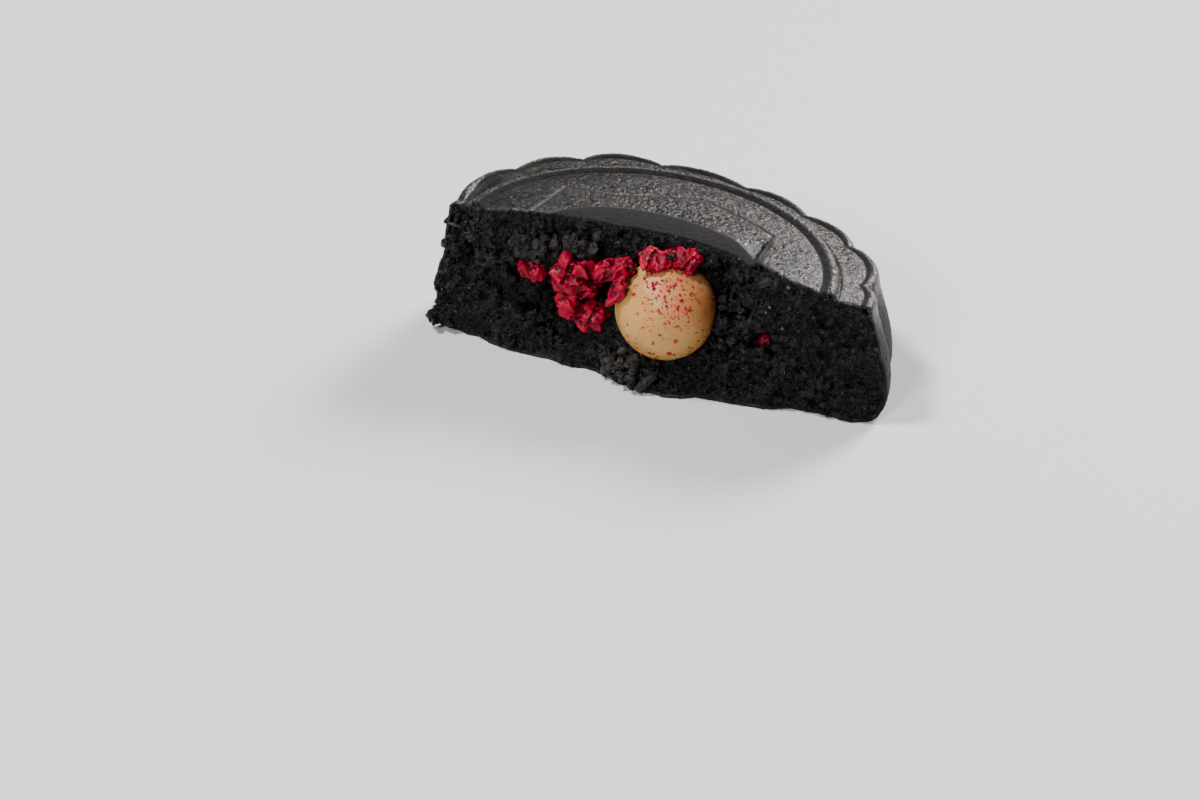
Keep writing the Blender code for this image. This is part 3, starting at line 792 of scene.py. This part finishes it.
def unit_ball(steps):
    """Places and faces of a crumpled ball of radius 1, modelled from a primitive and then removed."""
    deselect_all()
    bpy.ops.mesh.primitive_ico_sphere_add(subdivisions=steps, radius=1.0)
    ball = bpy.context.object
    co = places(ball) + AXIS
    faces = np.array([polygon.vertices[:] for polygon in ball.data.polygons])
    bpy.data.objects.remove(ball, do_unlink=True)
    return co, faces


def random_between(ends, count, power=1.0):
    """Random numbers between two ends. A higher power brings more of them near the first."""
    return ends[0] + (ends[1] - ends[0]) * rng.random(count) ** power


def random_turns(count):
    """Random rotation matrices, from random unit quaternions."""
    q = rng.normal(size=(count, 4))
    w, x, y, z = (q / np.linalg.norm(q, axis=1, keepdims=True)).T
    return np.array([
        [1 - 2 * (y * y + z * z), 2 * (x * y - z * w), 2 * (x * z + y * w)],
        [2 * (x * y + z * w), 1 - 2 * (x * x + z * z), 2 * (y * z - x * w)],
        [2 * (x * z - y * w), 2 * (y * z + x * w), 1 - 2 * (x * x + y * y)],
    ]).transpose(2, 0, 1)


def scatter(name, centres, sizes, tones, steps=1, rough=0.28, stretch=0.3, lumpy=0.0):
    """One mesh of many grains, each with its own turn, stretch and dents, and its tone in an attribute."""
    ball, faces = unit_ball(steps)
    count = len(centres)
    dents = 1.0 + rough * rng.uniform(-1.0, 1.0, size=(count, len(ball), 1))
    if lumpy:
        lumps = [noise_at(ball, 0.7, Vector(offset)) for offset in rng.uniform(0.0, 50.0, size=(count, 3))]
        dents += lumpy * np.array(lumps)[:, :, None]
    stretches = 1.0 + stretch * rng.uniform(-1.0, 1.0, size=(count, 1, 3))
    grains = ball[None] * dents * stretches * sizes[:, None, None]
    grains = np.einsum("nij,nvj->nvi", random_turns(count), grains) + centres[:, None, :] + AXIS
    grains[:, :, 2] = np.maximum(grains[:, :, 2], 0.0)
    shifted = faces[None] + (np.arange(count) * len(ball))[:, None, None]
    mesh = bpy.data.meshes.new(name)
    mesh.from_pydata(grains.reshape(-1, 3).tolist(), [], shifted.reshape(-1, 3).tolist())
    thing = new_object(name, mesh)
    mark(thing, "tone", np.repeat(tones, len(ball)))
    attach(thing, "root")
    return thing


def on_crumb(spots, sizes, sunk):
    """Centres of grains of these sizes, lying on the crumb at its vertices with that much sunk in."""
    return front[spots] + facing[spots] * (sizes * (0.5 - sunk))[:, None]


def clear_of_nut(centres, sizes):
    return np.linalg.norm(centres - NUT_CENTRE, axis=1) > NUT_RADIUS + sizes


front = places(crumb)
facing = normals(crumb)
share = np.clip(front[:, 2] / TOP_HEIGHT, 0.0, 1.0)
well_inside = (front[:, 2] > SPOT_LOWEST) & (front[:, 1] < SPOT_DEEPEST)
well_inside &= front[:, 0] > wall_x(share, -1.0) + SPOT_INSET
well_inside &= front[:, 0] < wall_x(share, 1.0) - SPOT_INSET
face_spots = np.flatnonzero(well_inside & (facing[:, 1] < FACING_FRONT))
spots = rng.choice(face_spots, GRAIN_COUNT, replace=False)
sizes = random_between(GRAIN_SIZES, GRAIN_COUNT, power=2.2)
centres = on_crumb(spots, sizes, sunk=0.3)
kept = clear_of_nut(centres, sizes)
tones = random_between(GRAIN_TONES, kept.sum(), power=1.5)
tones[rng.choice(len(tones), TAN_GRAINS, replace=False)] = 1.0
grains = scatter("crumb_grains", centres[kept], sizes[kept], tones)
print("grains:", triangles(grains), "triangles")

# %% [markdown]
# Between the grains sit clods: crumbs that have stuck together, each a ball of 80 faces. There are more of
# them where the crumb is loose, and a few named clumps are greyer, as they are drier.

# %% Scatter clods
CLOD_COUNT = 300
CLOD_SIZES = (0.35 * MM, 0.95 * MM)
CLOD_TONES = (0.0, 0.6)
CLOD_GATHER = 1.5
CLOD_CLEARANCE = 1.2
TONE_SPREAD = 0.05
PALEST_CLOD = 0.95
CLUMPS = (
    (-20.4, 21.0, 4.6, 2.2, 60, 0.80), (-12.8, 22.6, 2.8, 1.8, 30, 0.78), (-1.2, 3.6, 5.4, 2.2, 70, 0.84),
    (22.4, 23.4, 1.4, 0.8, 8, 0.85), (-38.4, 3.0, 1.8, 1.6, 22, 0.35), (18.9, 14.4, 2.4, 1.4, 22, 0.70),
    (-30.5, 17.0, 3.0, 5.0, 30, 0.60), (9.5, 22.0, 2.2, 1.2, 12, 0.50),
)
NAMED_CLODS = np.array([
    (4.3, 2.0, 24.8, 0.8), (-39.9, 0.5, 3.3, 0.95), (-40.2, 1.0, 1.9, 0.7), (-39.2, -0.1, 2.2, 0.8),
]) * MM
NAMED_TONE = 0.12


def nearest_spots(x, z):
    """The crumb's vertices that are nearest to places on its face."""
    face = front[face_spots]
    return face_spots[[int(np.argmin(np.hypot(face[:, 0] - a, face[:, 2] - b))) for a, b in zip(x, z)]]


weights = openness(front[face_spots]) ** CLOD_GATHER
spots = [rng.choice(face_spots, CLOD_COUNT, replace=False, p=weights / weights.sum())]
tones = [random_between(CLOD_TONES, CLOD_COUNT)]
for centre_x, centre_z, half_width, half_height, count, tone in CLUMPS:
    x = (centre_x + half_width * rng.uniform(-1.0, 1.0, count)) * MM
    z = (centre_z + half_height * rng.uniform(-1.0, 1.0, count)) * MM
    spots.append(nearest_spots(x, z))
    tones.append(np.clip(tone + rng.normal(0.0, TONE_SPREAD, count), 0.0, PALEST_CLOD))
spots, tones = np.concatenate(spots), np.concatenate(tones)
sizes = random_between(CLOD_SIZES, len(spots), power=1.6)
centres = on_crumb(spots, sizes, sunk=0.15)
centres[:, 2] = np.maximum(centres[:, 2], sizes)
kept = clear_of_nut(centres, sizes * CLOD_CLEARANCE)
centres = np.vstack([centres[kept], NAMED_CLODS[:, :3]])
sizes = np.append(sizes[kept], NAMED_CLODS[:, 3])
tones = np.append(tones[kept], np.full(len(NAMED_CLODS), NAMED_TONE))
clods = scatter("crumb_clods", centres, sizes, tones, steps=2, rough=0.12, lumpy=0.75)
displace(clods, "clod_grain", "VORONOI", 0.5 * MM, -0.2 * MM)
apply_all(clods)
print("clods:", triangles(clods), "triangles")

# %% [markdown]
# ## The nut
# A whole blanched kernel, smooth and almost round. It starts as a sphere, pulled a little fuller low on
# one side, and gets the faint dents that a kernel has. It is dusted with red berry powder: the finest
# is in the material, and the grains that stand out are small flakes of mesh.

# %% Model the kernel
NUT_STRETCH = np.array([1.0, 0.97, 0.99])
NUT_FULLNESS = 0.05
NUT_FULL_SIDE = np.array([0.6, -0.2, -0.75]) / np.linalg.norm([0.6, -0.2, -0.75])

deselect_all()
bpy.ops.mesh.primitive_uv_sphere_add(segments=96, ring_count=64, radius=1.0)
kernel = bpy.context.object
kernel.name = "kernel"
direction = places(kernel) + AXIS
fuller = 1.0 + NUT_FULLNESS * direction @ NUT_FULL_SIDE
set_places(kernel, NUT_CENTRE + direction * NUT_STRETCH * NUT_RADIUS * fuller[:, None])
displace(kernel, "kernel_dents", "CLOUDS", 6.0 * MM, 0.35 * MM)
displace(kernel, "kernel_grain", "CLOUDS", 1.5 * MM, 0.05 * MM)
apply_all(kernel)
bpy.ops.object.shade_smooth()
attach(kernel, "root")
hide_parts("nut")
print("kernel:", triangles(kernel), "triangles")

# %% Dust the kernel with berry powder
POWDER_MIDDLE = Vector((0.32, -0.62, 0.72)).normalized()
NUT_SHADED_SIDE = Vector((0.96, -0.1, 0.2)).normalized()
POWDER_COUNT = 640
POWDER_SIZES = (0.05 * MM, 0.32 * MM)
POWDER_ALL_OVER = 0.045
POWDER_GATHER = 9.0
POWDER_DRIFT = 0.5 * MM

kernel_places, kernel_facing = places(kernel), normals(kernel)
towards = kernel_facing @ np.array(POWDER_MIDDLE)
weights = POWDER_ALL_OVER + np.clip(towards, 0.0, 1.0) ** POWDER_GATHER
weights *= kernel_facing[:, 1] < FACING_FRONT
weights *= np.sqrt(np.clip(1.0 - kernel_facing[:, 2] ** 2, 0.0, 1.0))
spots = rng.choice(len(kernel_places), POWDER_COUNT, replace=False, p=weights / weights.sum())
sizes = random_between(POWDER_SIZES, POWDER_COUNT, power=3.0)
landed = kernel_places[spots] - NUT_CENTRE
radii = np.linalg.norm(landed, axis=1, keepdims=True)
landed += rng.uniform(-POWDER_DRIFT, POWDER_DRIFT, size=landed.shape)
landed = NUT_CENTRE + landed * radii / np.linalg.norm(landed, axis=1, keepdims=True)
powder = scatter("berry_powder", landed, sizes, rng.random(POWDER_COUNT), rough=0.4, stretch=0.75)
print("powder:", triangles(powder), "triangles")

# %% [markdown]
# ## The berries
# Dried berry tears into leathery, crumpled pieces with sharp ridges. Each piece starts from a copy of its
# CAD solid, whose loose triangles are merged first. Lumps with fewer faces give it flat facets. Once it is
# subdivided, its folds and tears are moved in the mesh, and displacement adds the wrinkles.

# %% Crumple the berry pieces
FACET_SHARE = 0.55
FOLD_LENGTH = 0.72
FOLD_FLANK = 2.6
FOLD_TOP = 0.6
FOLDS = {
    "berry_left_tip": ((0.4, 0.0, -0.9), 1.5, 0.34), "berry_left_large": ((0.6, 0.0, -0.8), 2.3, 0.75),
    "berry_left_low": ((0.8, 0.0, -0.6), 1.5, 0.60), "berry_mid_high": ((0.3, 0.0, 0.95), 1.5, 0.55),
    "berry_flake": ((0.5, 0.0, 0.85), 1.0, 0.40), "berry_top_left": ((-0.5, 0.2, 0.85), 1.7, 0.50),
    "berry_top_right": ((0.5, 0.3, 0.8), 1.3, 0.60), "berry_right_bit": ((0.3, 0.0, 1.0), 0.8, 0.30),
}
TEARS = (
    (-12.0, 18.6, -8.0, 17.0, 0.7, 1.3), (-12.4, 21.8, -13.9, 17.0, 0.6, 0.8),
    (-15.0, 14.2, -8.0, 16.0, 0.6, 1.0), (-11.2, 14.5, -11.1, 9.8, 0.7, 1.0),
    (-7.6, 14.5, -9.0, 9.7, 0.5, 0.7), (-5.8, 23.5, -6.9, 18.6, 0.6, 0.9),
    (-3.6, 23.4, -2.4, 21.6, 0.5, 0.7), (3.9, 21.0, 4.0, 27.0, 0.6, 1.0), (0.4, 21.5, 1.9, 27.4, 0.4, 0.6),
)
TEAR_FACING = 0.4
PULLS = {
    "berry_flake": ((-5.6, -2.8, 14.9), 2.4), "berry_left_large": ((-14.6, -0.2, 22.8), 2.6),
}
BERRIES = sorted(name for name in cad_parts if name.startswith("berry_"))


def fold(skin, direction, spacing, depth):
    """Raises sharp ridges that run in one direction, as a dried skin folds."""
    co, out = places(skin), normals(skin)
    along = np.array(direction) / np.linalg.norm(direction)
    squeezed = co - FOLD_LENGTH * (co @ along)[:, None] * along
    ridge = FOLD_TOP - FOLD_FLANK * np.abs(noise_at(squeezed, spacing * MM))
    set_places(skin, co + out * (depth * MM * np.maximum(ridge, -FOLD_TOP))[:, None])


def tear(skin):
    """Presses a sharp groove along each tear that crosses the piece."""
    co, out = places(skin), normals(skin)
    for x0, z0, x1, z1, width, depth in TEARS:
        start, run = np.array([x0, z0]) * MM, np.array([x1 - x0, z1 - z0]) * MM
        beside = co[:, [0, 2]] - start
        share = np.clip(beside @ run / (run @ run), 0.0, 1.0)
        away = np.linalg.norm(beside - share[:, None] * run, axis=1) / (width * MM)
        pressed = depth * MM * np.clip(1.0 - away, 0.0, 1.0) * (out[:, 1] < TEAR_FACING)
        co -= out * pressed[:, None]
    set_places(skin, co)


def pull(skin, tip, reach):
    """Draws a torn end of the piece out to a tip."""
    co, tip = places(skin), np.array(tip) * MM
    end = co[np.argmin(np.linalg.norm(co - tip, axis=1))]
    share = np.clip(1.0 - np.linalg.norm(co - end, axis=1) / (reach * MM), 0.0, 1.0)
    set_places(skin, co + share[:, None] * (tip - end))


def berry_skin(node):
    """A finer, crumpled piece on the same place as a CAD node."""
    deselect_all()
    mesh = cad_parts[node].data.copy()
    mesh.materials.clear()
    skin = new_object(node + "_skin", mesh)
    skin.select_set(True)
    edit(skin)
    bpy.ops.mesh.remove_doubles(threshold=WELD)
    go_to("OBJECT")
    displace(skin, node + "_chunks", "VORONOI", 2.4 * MM, -0.8 * MM, middle=0.4)
    facets = skin.modifiers.new(node + "_facets", "DECIMATE")
    facets.ratio = FACET_SHARE
    apply_all(skin)
    edit(skin)
    bpy.ops.mesh.subdivide(number_cuts=5, smoothness=0.15)
    go_to("OBJECT")
    bpy.ops.object.shade_smooth()
    fold(skin, *FOLDS[node])
    tear(skin)
    if node in PULLS:
        pull(skin, *PULLS[node])
    displace(skin, node + "_wrinkles", "CLOUDS", 0.45 * MM, 0.14 * MM, noise_depth=1)
    apply_all(skin)
    mark_hollows(skin, 0.22 * MM)
    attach(skin, "root")
    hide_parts(node)
    return skin


skins = {node: berry_skin(node) for node in BERRIES}
print({node: triangles(skin) for node, skin in skins.items()})

# %% Drop a few black crumbs on the berries
CRUMBS_PER_BERRY = 11
CRUMB_SIZES = (0.08 * MM, 0.32 * MM)
CRUMB_TONES = (0.0, 0.6)
SEEN_FRONT = 0.1
SEEN_ABOVE = -0.2

on_berries = []
for skin in skins.values():
    skin_places, skin_facing = places(skin), normals(skin)
    open_spots = np.flatnonzero((skin_facing[:, 1] < SEEN_FRONT) & (skin_facing[:, 2] > SEEN_ABOVE))
    on_berries.append(skin_places[rng.choice(open_spots, CRUMBS_PER_BERRY)])
on_berries = np.concatenate(on_berries)
sizes = random_between(CRUMB_SIZES, len(on_berries), power=3.0)
tones = random_between(CRUMB_TONES, len(on_berries))
dust = scatter("crumbs_on_berries", on_berries, sizes, tones, rough=0.35)
print("crumbs on the berries:", triangles(dust), "triangles")

# %% [markdown]
# ## Materials
# Every finish is procedural and reads Object coordinates, so it needs no image. A small helper wires
# nodes by name, which keeps each material readable as a list of what it is made of.

# %% Wiring helpers


class Finish:
    """A material being wired: one Principled shader and the nodes that feed it."""

    def __init__(self, name):
        self.material = bpy.data.materials.new(name)
        self.material.use_nodes = True
        self.nodes = self.material.node_tree.nodes
        self.links = self.material.node_tree.links
        self.shader = self.nodes["Principled BSDF"]
        self.where = self.nodes.new("ShaderNodeTexCoord").outputs["Object"]

    def put(self, socket, value):
        """Feeds a socket from a node, or sets it to a number, a place or a colour."""
        if isinstance(value, bpy.types.NodeSocket):
            self.links.new(value, socket)
        else:
            opaque = isinstance(value, tuple) and len(value) < len(socket.default_value)
            socket.default_value = (*value, 1.0) if opaque else value

    def set(self, **values):
        """Feeds or sets the shader's own sockets."""
        for name, value in values.items():
            self.put(self.shader.inputs[name.replace("_", " ")], value)

    def node(self, kind, sockets, **settings):
        """A new node, with its sockets fed or set by name or number."""
        node = self.nodes.new("ShaderNode" + kind)
        for name, value in settings.items():
            setattr(node, name, value)
        for key, value in sockets.items():
            self.put(node.inputs[key], value)
        return node

    def noise(self, size, detail=2.0, rough=0.5, distort=0.0):
        """Soft noise with patches of about that size."""
        sockets = {"Scale": 1.0 / size, "Detail": detail, "Roughness": rough, "Distortion": distort}
        return self.node("TexNoise", {"Vector": self.where, **sockets}).outputs["Fac"]

    def cells(self, size, stretch=0.0):
        """Distance to the nearest of scattered points, bent out of round by stretch."""
        where = self.where
        if stretch:
            wander = self.node("TexNoise", {"Vector": where, "Scale": 1.0 / size}).outputs["Color"]
            sockets = {0: wander, 1: (stretch * size,) * 3, 2: where}
            where = self.node("VectorMath", sockets, operation="MULTIPLY_ADD").outputs["Vector"]
        return self.node("TexVoronoi", {"Vector": where, "Scale": 1.0 / size}).outputs["Distance"]

    def nearness(self, point, reach):
        """1 at a point of the frame, falling to 0 at that reach from it."""
        away = self.node("VectorMath", {0: self.where, 1: point}, operation="DISTANCE").outputs["Value"]
        sockets = {"Value": away, "From Max": reach, "To Min": 1.0, "To Max": 0.0}
        return self.node("MapRange", sockets, interpolation_type="SMOOTHSTEP").outputs["Result"]

    def ramp(self, source, *stops):
        """Turns a number into a colour or a grey between stops (place, colour)."""
        node = self.node("ValToRGB", {"Fac": source})
        while len(node.color_ramp.elements) < len(stops):
            node.color_ramp.elements.new(1.0)
        for element, (place, colour) in zip(node.color_ramp.elements, stops):
            element.position = place
            element.color = (*((colour,) * 3 if isinstance(colour, float) else colour), 1.0)
        return node.outputs["Color"]

    def mix(self, share, low, high, blend="MIX"):
        node = self.node("Mix", {}, data_type="RGBA", blend_type=blend)
        for index, value in zip((0, 6, 7), (share, low, high)):
            self.put(node.inputs[index], value)
        return node.outputs[2]

    def times(self, first, second):
        return self.mix(1.0, first, second, "MULTIPLY")

    def attribute(self, name):
        return self.node("Attribute", {}, attribute_name=name).outputs["Fac"]

    def bump(self, *layers):
        """Bump layers of (height, depth in metres), each laid over the one before."""
        below = {}
        for height, depth in layers:
            normal = self.node("Bump", {"Height": height, "Distance": depth, **below}).outputs["Normal"]
            below = {"Normal": normal}
        self.set(Normal=normal)


# %% Black crust, crumb, kernel and berry
CRUST_DARK = (0.007, 0.0066, 0.0062)
CRUST_PALE = (0.018, 0.017, 0.016)
CRUST_PAINTED_SHADE = (0.006, 0.0052, 0.0047)
CRUST_SIDE_SHADE = (0.005, 0.0047, 0.0045)
CRUMB_DARK = (0.0006, 0.0006, 0.001)
CRUMB_PALE = (0.003, 0.003, 0.0038)
SHADED_CREAM = (0.24, 0.09, 0.018)
BLUSH = (0.55, 0.12, 0.07)
SPECKS = (0.38, 0.03, 0.025)


def black_crust():
    finish = Finish("black_crust")
    patches = finish.ramp(finish.noise(9.0 * MM, 3.0), (0.35, CRUST_DARK), (0.7, CRUST_PALE))
    mottle = finish.ramp(finish.noise(0.8 * MM, 5.0, 0.7), (0.3, 0.5), (0.7, 1.5))
    # Painted shade: the colour is darkened in the middle of each small pit, where the bump below presses the
    # pit in.
    pits = finish.ramp(finish.cells(2.0 * MM), (0.06, 0.05), (0.13, 1.0))
    # Painted shade and light: the colour is darkened in the crust's small hollows and lightened on its
    # ridges.
    hollow_shade_ridge_light = finish.ramp(finish.attribute("hollow"), (0.2, 1.9), (0.5, 1.0), (0.8, 0.35))
    colour = finish.times(finish.times(patches, mottle), hollow_shade_ridge_light)
    dull, wall = finish.attribute("dull"), finish.attribute("wall")
    # Painted shade: the bent strip, the inner slopes of ring and bead and the panel's creases get a darker
    # colour, and below they are also made rough.
    colour = finish.mix(dull, colour, finish.times(mottle, CRUST_PAINTED_SHADE))
    # Painted shade: the cake's side gets a darker colour, as if in shadow, and below it is also made rough.
    side = finish.ramp(wall, (0.0, 0.0), (0.5, 1.0))
    colour = finish.mix(side, colour, finish.times(mottle, CRUST_SIDE_SHADE))
    gloss = finish.ramp(finish.noise(1.1 * MM, 4.0, 0.6), (0.3, 0.20), (0.72, 0.42))
    gloss = finish.mix(wall, finish.mix(dull, gloss, (1.0, 1.0, 1.0)), (0.70, 0.70, 0.70))
    finish.set(Base_Color=finish.times(colour, pits), Roughness=gloss, Specular_IOR_Level=0.32)
    finish.bump(
        (finish.noise(0.9 * MM, 3.0, 0.6, 1.5), 0.26 * MM),
        (finish.cells(0.7 * MM, stretch=0.5), 0.07 * MM),
        (pits, 0.20 * MM),
    )
    return finish.material


def black_crumb(name, tone=False):
    finish = Finish(name)
    if tone:
        base = finish.ramp(
            finish.attribute("tone"),
            (0.0, CRUMB_DARK), (0.55, CRUMB_PALE), (0.8, (0.019, 0.0175, 0.0165)),
            (0.95, (0.034, 0.027, 0.020)), (0.97, (0.15, 0.095, 0.048)),
        )
    else:
        base = finish.ramp(finish.noise(1.1 * MM, 4.0, 0.7), (0.35, CRUMB_DARK), (0.75, CRUMB_PALE))
        shade = finish.ramp(finish.attribute("hollow"), (0.25, 1.7), (0.5, 0.7), (0.75, 0.05))
        base = finish.times(base, shade)
    gloss = finish.ramp(finish.noise(0.5 * MM, 2.0), (0.42, 0.12), (0.56, 0.55))
    finish.set(Base_Color=base, Roughness=gloss, Specular_IOR_Level=0.24)
    finish.bump((finish.noise(0.24 * MM, 3.0, 0.7), 0.26 * MM))
    return finish.material


def cream_kernel():
    finish = Finish("cream_kernel")
    shaded_place = NUT_CENTRE + AXIS + NUT_RADIUS * np.array(NUT_SHADED_SIDE)
    powder_place = NUT_CENTRE + AXIS + NUT_RADIUS * np.array(POWDER_MIDDLE)
    cream = finish.noise(7.0 * MM, 2.0)
    cream = finish.ramp(cream, (0.3, (0.42, 0.232, 0.061)), (0.75, (0.50, 0.290, 0.086)))
    cream = finish.mix(finish.nearness(shaded_place, 7.5 * MM), cream, SHADED_CREAM)
    blotches = finish.ramp(finish.noise(2.4 * MM, 4.0, 0.6), (0.36, 0.0), (0.60, 0.9))
    colour = finish.mix(finish.times(finish.nearness(powder_place, 10.0 * MM), blotches), cream, BLUSH)
    specks = finish.ramp(finish.cells(0.85 * MM, stretch=0.8), (0.15, 1.0), (0.25, 0.0))
    specks = finish.times(specks, finish.ramp(finish.noise(2.0 * MM, 2.0), (0.44, 0.0), (0.52, 1.0)))
    reach = finish.ramp(finish.nearness(powder_place, 15.0 * MM), (0.05, 0.0), (0.55, 1.0))
    finish.set(Base_Color=finish.mix(finish.times(specks, reach), colour, SPECKS), Roughness=0.40)
    finish.set(Specular_IOR_Level=0.3, Subsurface_Weight=0.12, Subsurface_Scale=1.5 * MM)
    finish.bump((finish.noise(0.6 * MM, 2.0), 0.02 * MM))
    return finish.material


def crimson_berry(name, light=1.0):
    finish = Finish(name)
    red = finish.ramp(
        finish.noise(1.8 * MM, 3.0),
        (0.3, (0.10 * light, 0.0, 0.007 * light)), (0.55, (0.22 * light, 0.0, 0.014 * light)),
        (0.8, (0.40 * light, 0.004 * light, 0.055 * light)),
    )
    shade = finish.ramp(finish.attribute("hollow"), (0.2, 1.5), (0.5, 1.0), (0.85, 0.45))
    gloss = finish.ramp(finish.noise(0.6 * MM, 2.0), (0.35, 0.16), (0.7, 0.42))
    finish.set(Base_Color=finish.times(red, shade), Roughness=gloss, Specular_IOR_Level=0.14)
    finish.bump((finish.noise(0.35 * MM, 3.0, 0.6), 0.08 * MM))
    return finish.material


def red_powder():
    finish = Finish("red_powder")
    red = finish.ramp(finish.attribute("tone"), (0.0, (0.17, 0.006, 0.008)), (1.0, (0.40, 0.022, 0.026)))
    finish.set(Base_Color=red, Roughness=0.6, Specular_IOR_Level=0.2)
    return finish.material


def give(thing, material):
    thing.data.materials.clear()
    thing.data.materials.append(material)


give(crust, black_crust())
give(crumb, black_crumb("black_crumb"))
loose_grain = black_crumb("loose_grain", tone=True)
for thing in (grains, clods, dust):
    give(thing, loose_grain)
give(kernel, cream_kernel())
give(powder, red_powder())
berry_red = crimson_berry("crimson_berry")
for skin in skins.values():
    give(skin, berry_red)
give(skins["berry_right_bit"], crimson_berry("shaded_berry", light=0.3))
print("materials:", [material.name for material in bpy.data.materials])

# %% [markdown]
# ## Floor, light and camera
# A plain pale floor and soft studio light. The main light is large and stands behind on the right, as in
# the photograph, so it rakes over the top and gives the black crust its grey sheen. A second one stands high
# on the left, and a weaker one in front opens the broken face. The camera looks from the photograph's angle.

# %% Stage
FLOOR_SIZE = 6.0
LIGHT_SPREAD = math.radians(100.0)
LIGHTS = (
    ("key", (0.42, 1.28, 0.88), 0.02, 0.60, 16.2, (1.0, 0.96, 0.93)),
    ("top", (-0.68, -0.32, 1.32), 0.01, 0.28, 8.4, (1.0, 1.0, 1.0)),
    ("front", (-0.20, -1.24, 0.84), 0.01, 0.28, 4.4, (1.0, 1.0, 1.0)),
)
WORLD_COLOUR = (0.9, 0.92, 1.0, 1.0)
WORLD_STRENGTH = 0.07

deselect_all()
bpy.ops.mesh.primitive_plane_add(size=FLOOR_SIZE)
floor = bpy.context.object
floor.name = "floor"
floor_finish = Finish("pale_floor")
floor_finish.set(Base_Color=(0.62, 0.61, 0.60, 1.0), Roughness=0.7)
give(floor, floor_finish.material)

for name, place, aim_height, size, power, colour in LIGHTS:
    light = bpy.data.lights.new(name, "AREA")
    light.spread = LIGHT_SPREAD
    light.shape = "DISK"
    light.size = size
    light.energy = power
    light.color = colour
    lamp = new_object(name, light)
    lamp.location = place
    lamp.rotation_euler = (Vector((0.0, 0.0, aim_height)) - Vector(place)).to_track_quat("-Z", "Y").to_euler()

world = bpy.data.worlds.new("studio")
bpy.context.scene.world = world
world.use_nodes = True
background = world.node_tree.nodes["Background"]
background.inputs["Color"].default_value = WORLD_COLOUR
background.inputs["Strength"].default_value = WORLD_STRENGTH
print("floor, three lights and a pale world")

# %% Camera
AZIMUTH = math.radians(19.0)
ELEVATION = math.radians(31.9)
ROLL = math.radians(3.2)
DISTANCE = 457.0 * MM
ACROSS = -6.4 * MM
UP = -3.8 * MM
LENS = 76.8
SENSOR = 36.0

level = Vector((math.cos(AZIMUTH), math.sin(AZIMUTH), 0.0))
ahead = Vector((-math.sin(AZIMUTH), math.cos(AZIMUTH), 0.0))
back = math.sin(ELEVATION) * Vector((0.0, 0.0, 1.0)) - math.cos(ELEVATION) * ahead
upright = back.cross(level)
right = math.cos(ROLL) * level + math.sin(ROLL) * upright
up = math.cos(ROLL) * upright - math.sin(ROLL) * level
camera_data = bpy.data.cameras.new("camera")
camera_data.lens = LENS
camera_data.sensor_width = SENSOR
camera = new_object("camera", camera_data)
pose = Matrix((right, up, back)).transposed().to_4x4()
pose.translation = back * DISTANCE + right * ACROSS + up * UP + Vector(AXIS)
camera.matrix_world = pose
bpy.context.scene.camera = camera
print("camera at", [round(part, 3) for part in pose.translation])
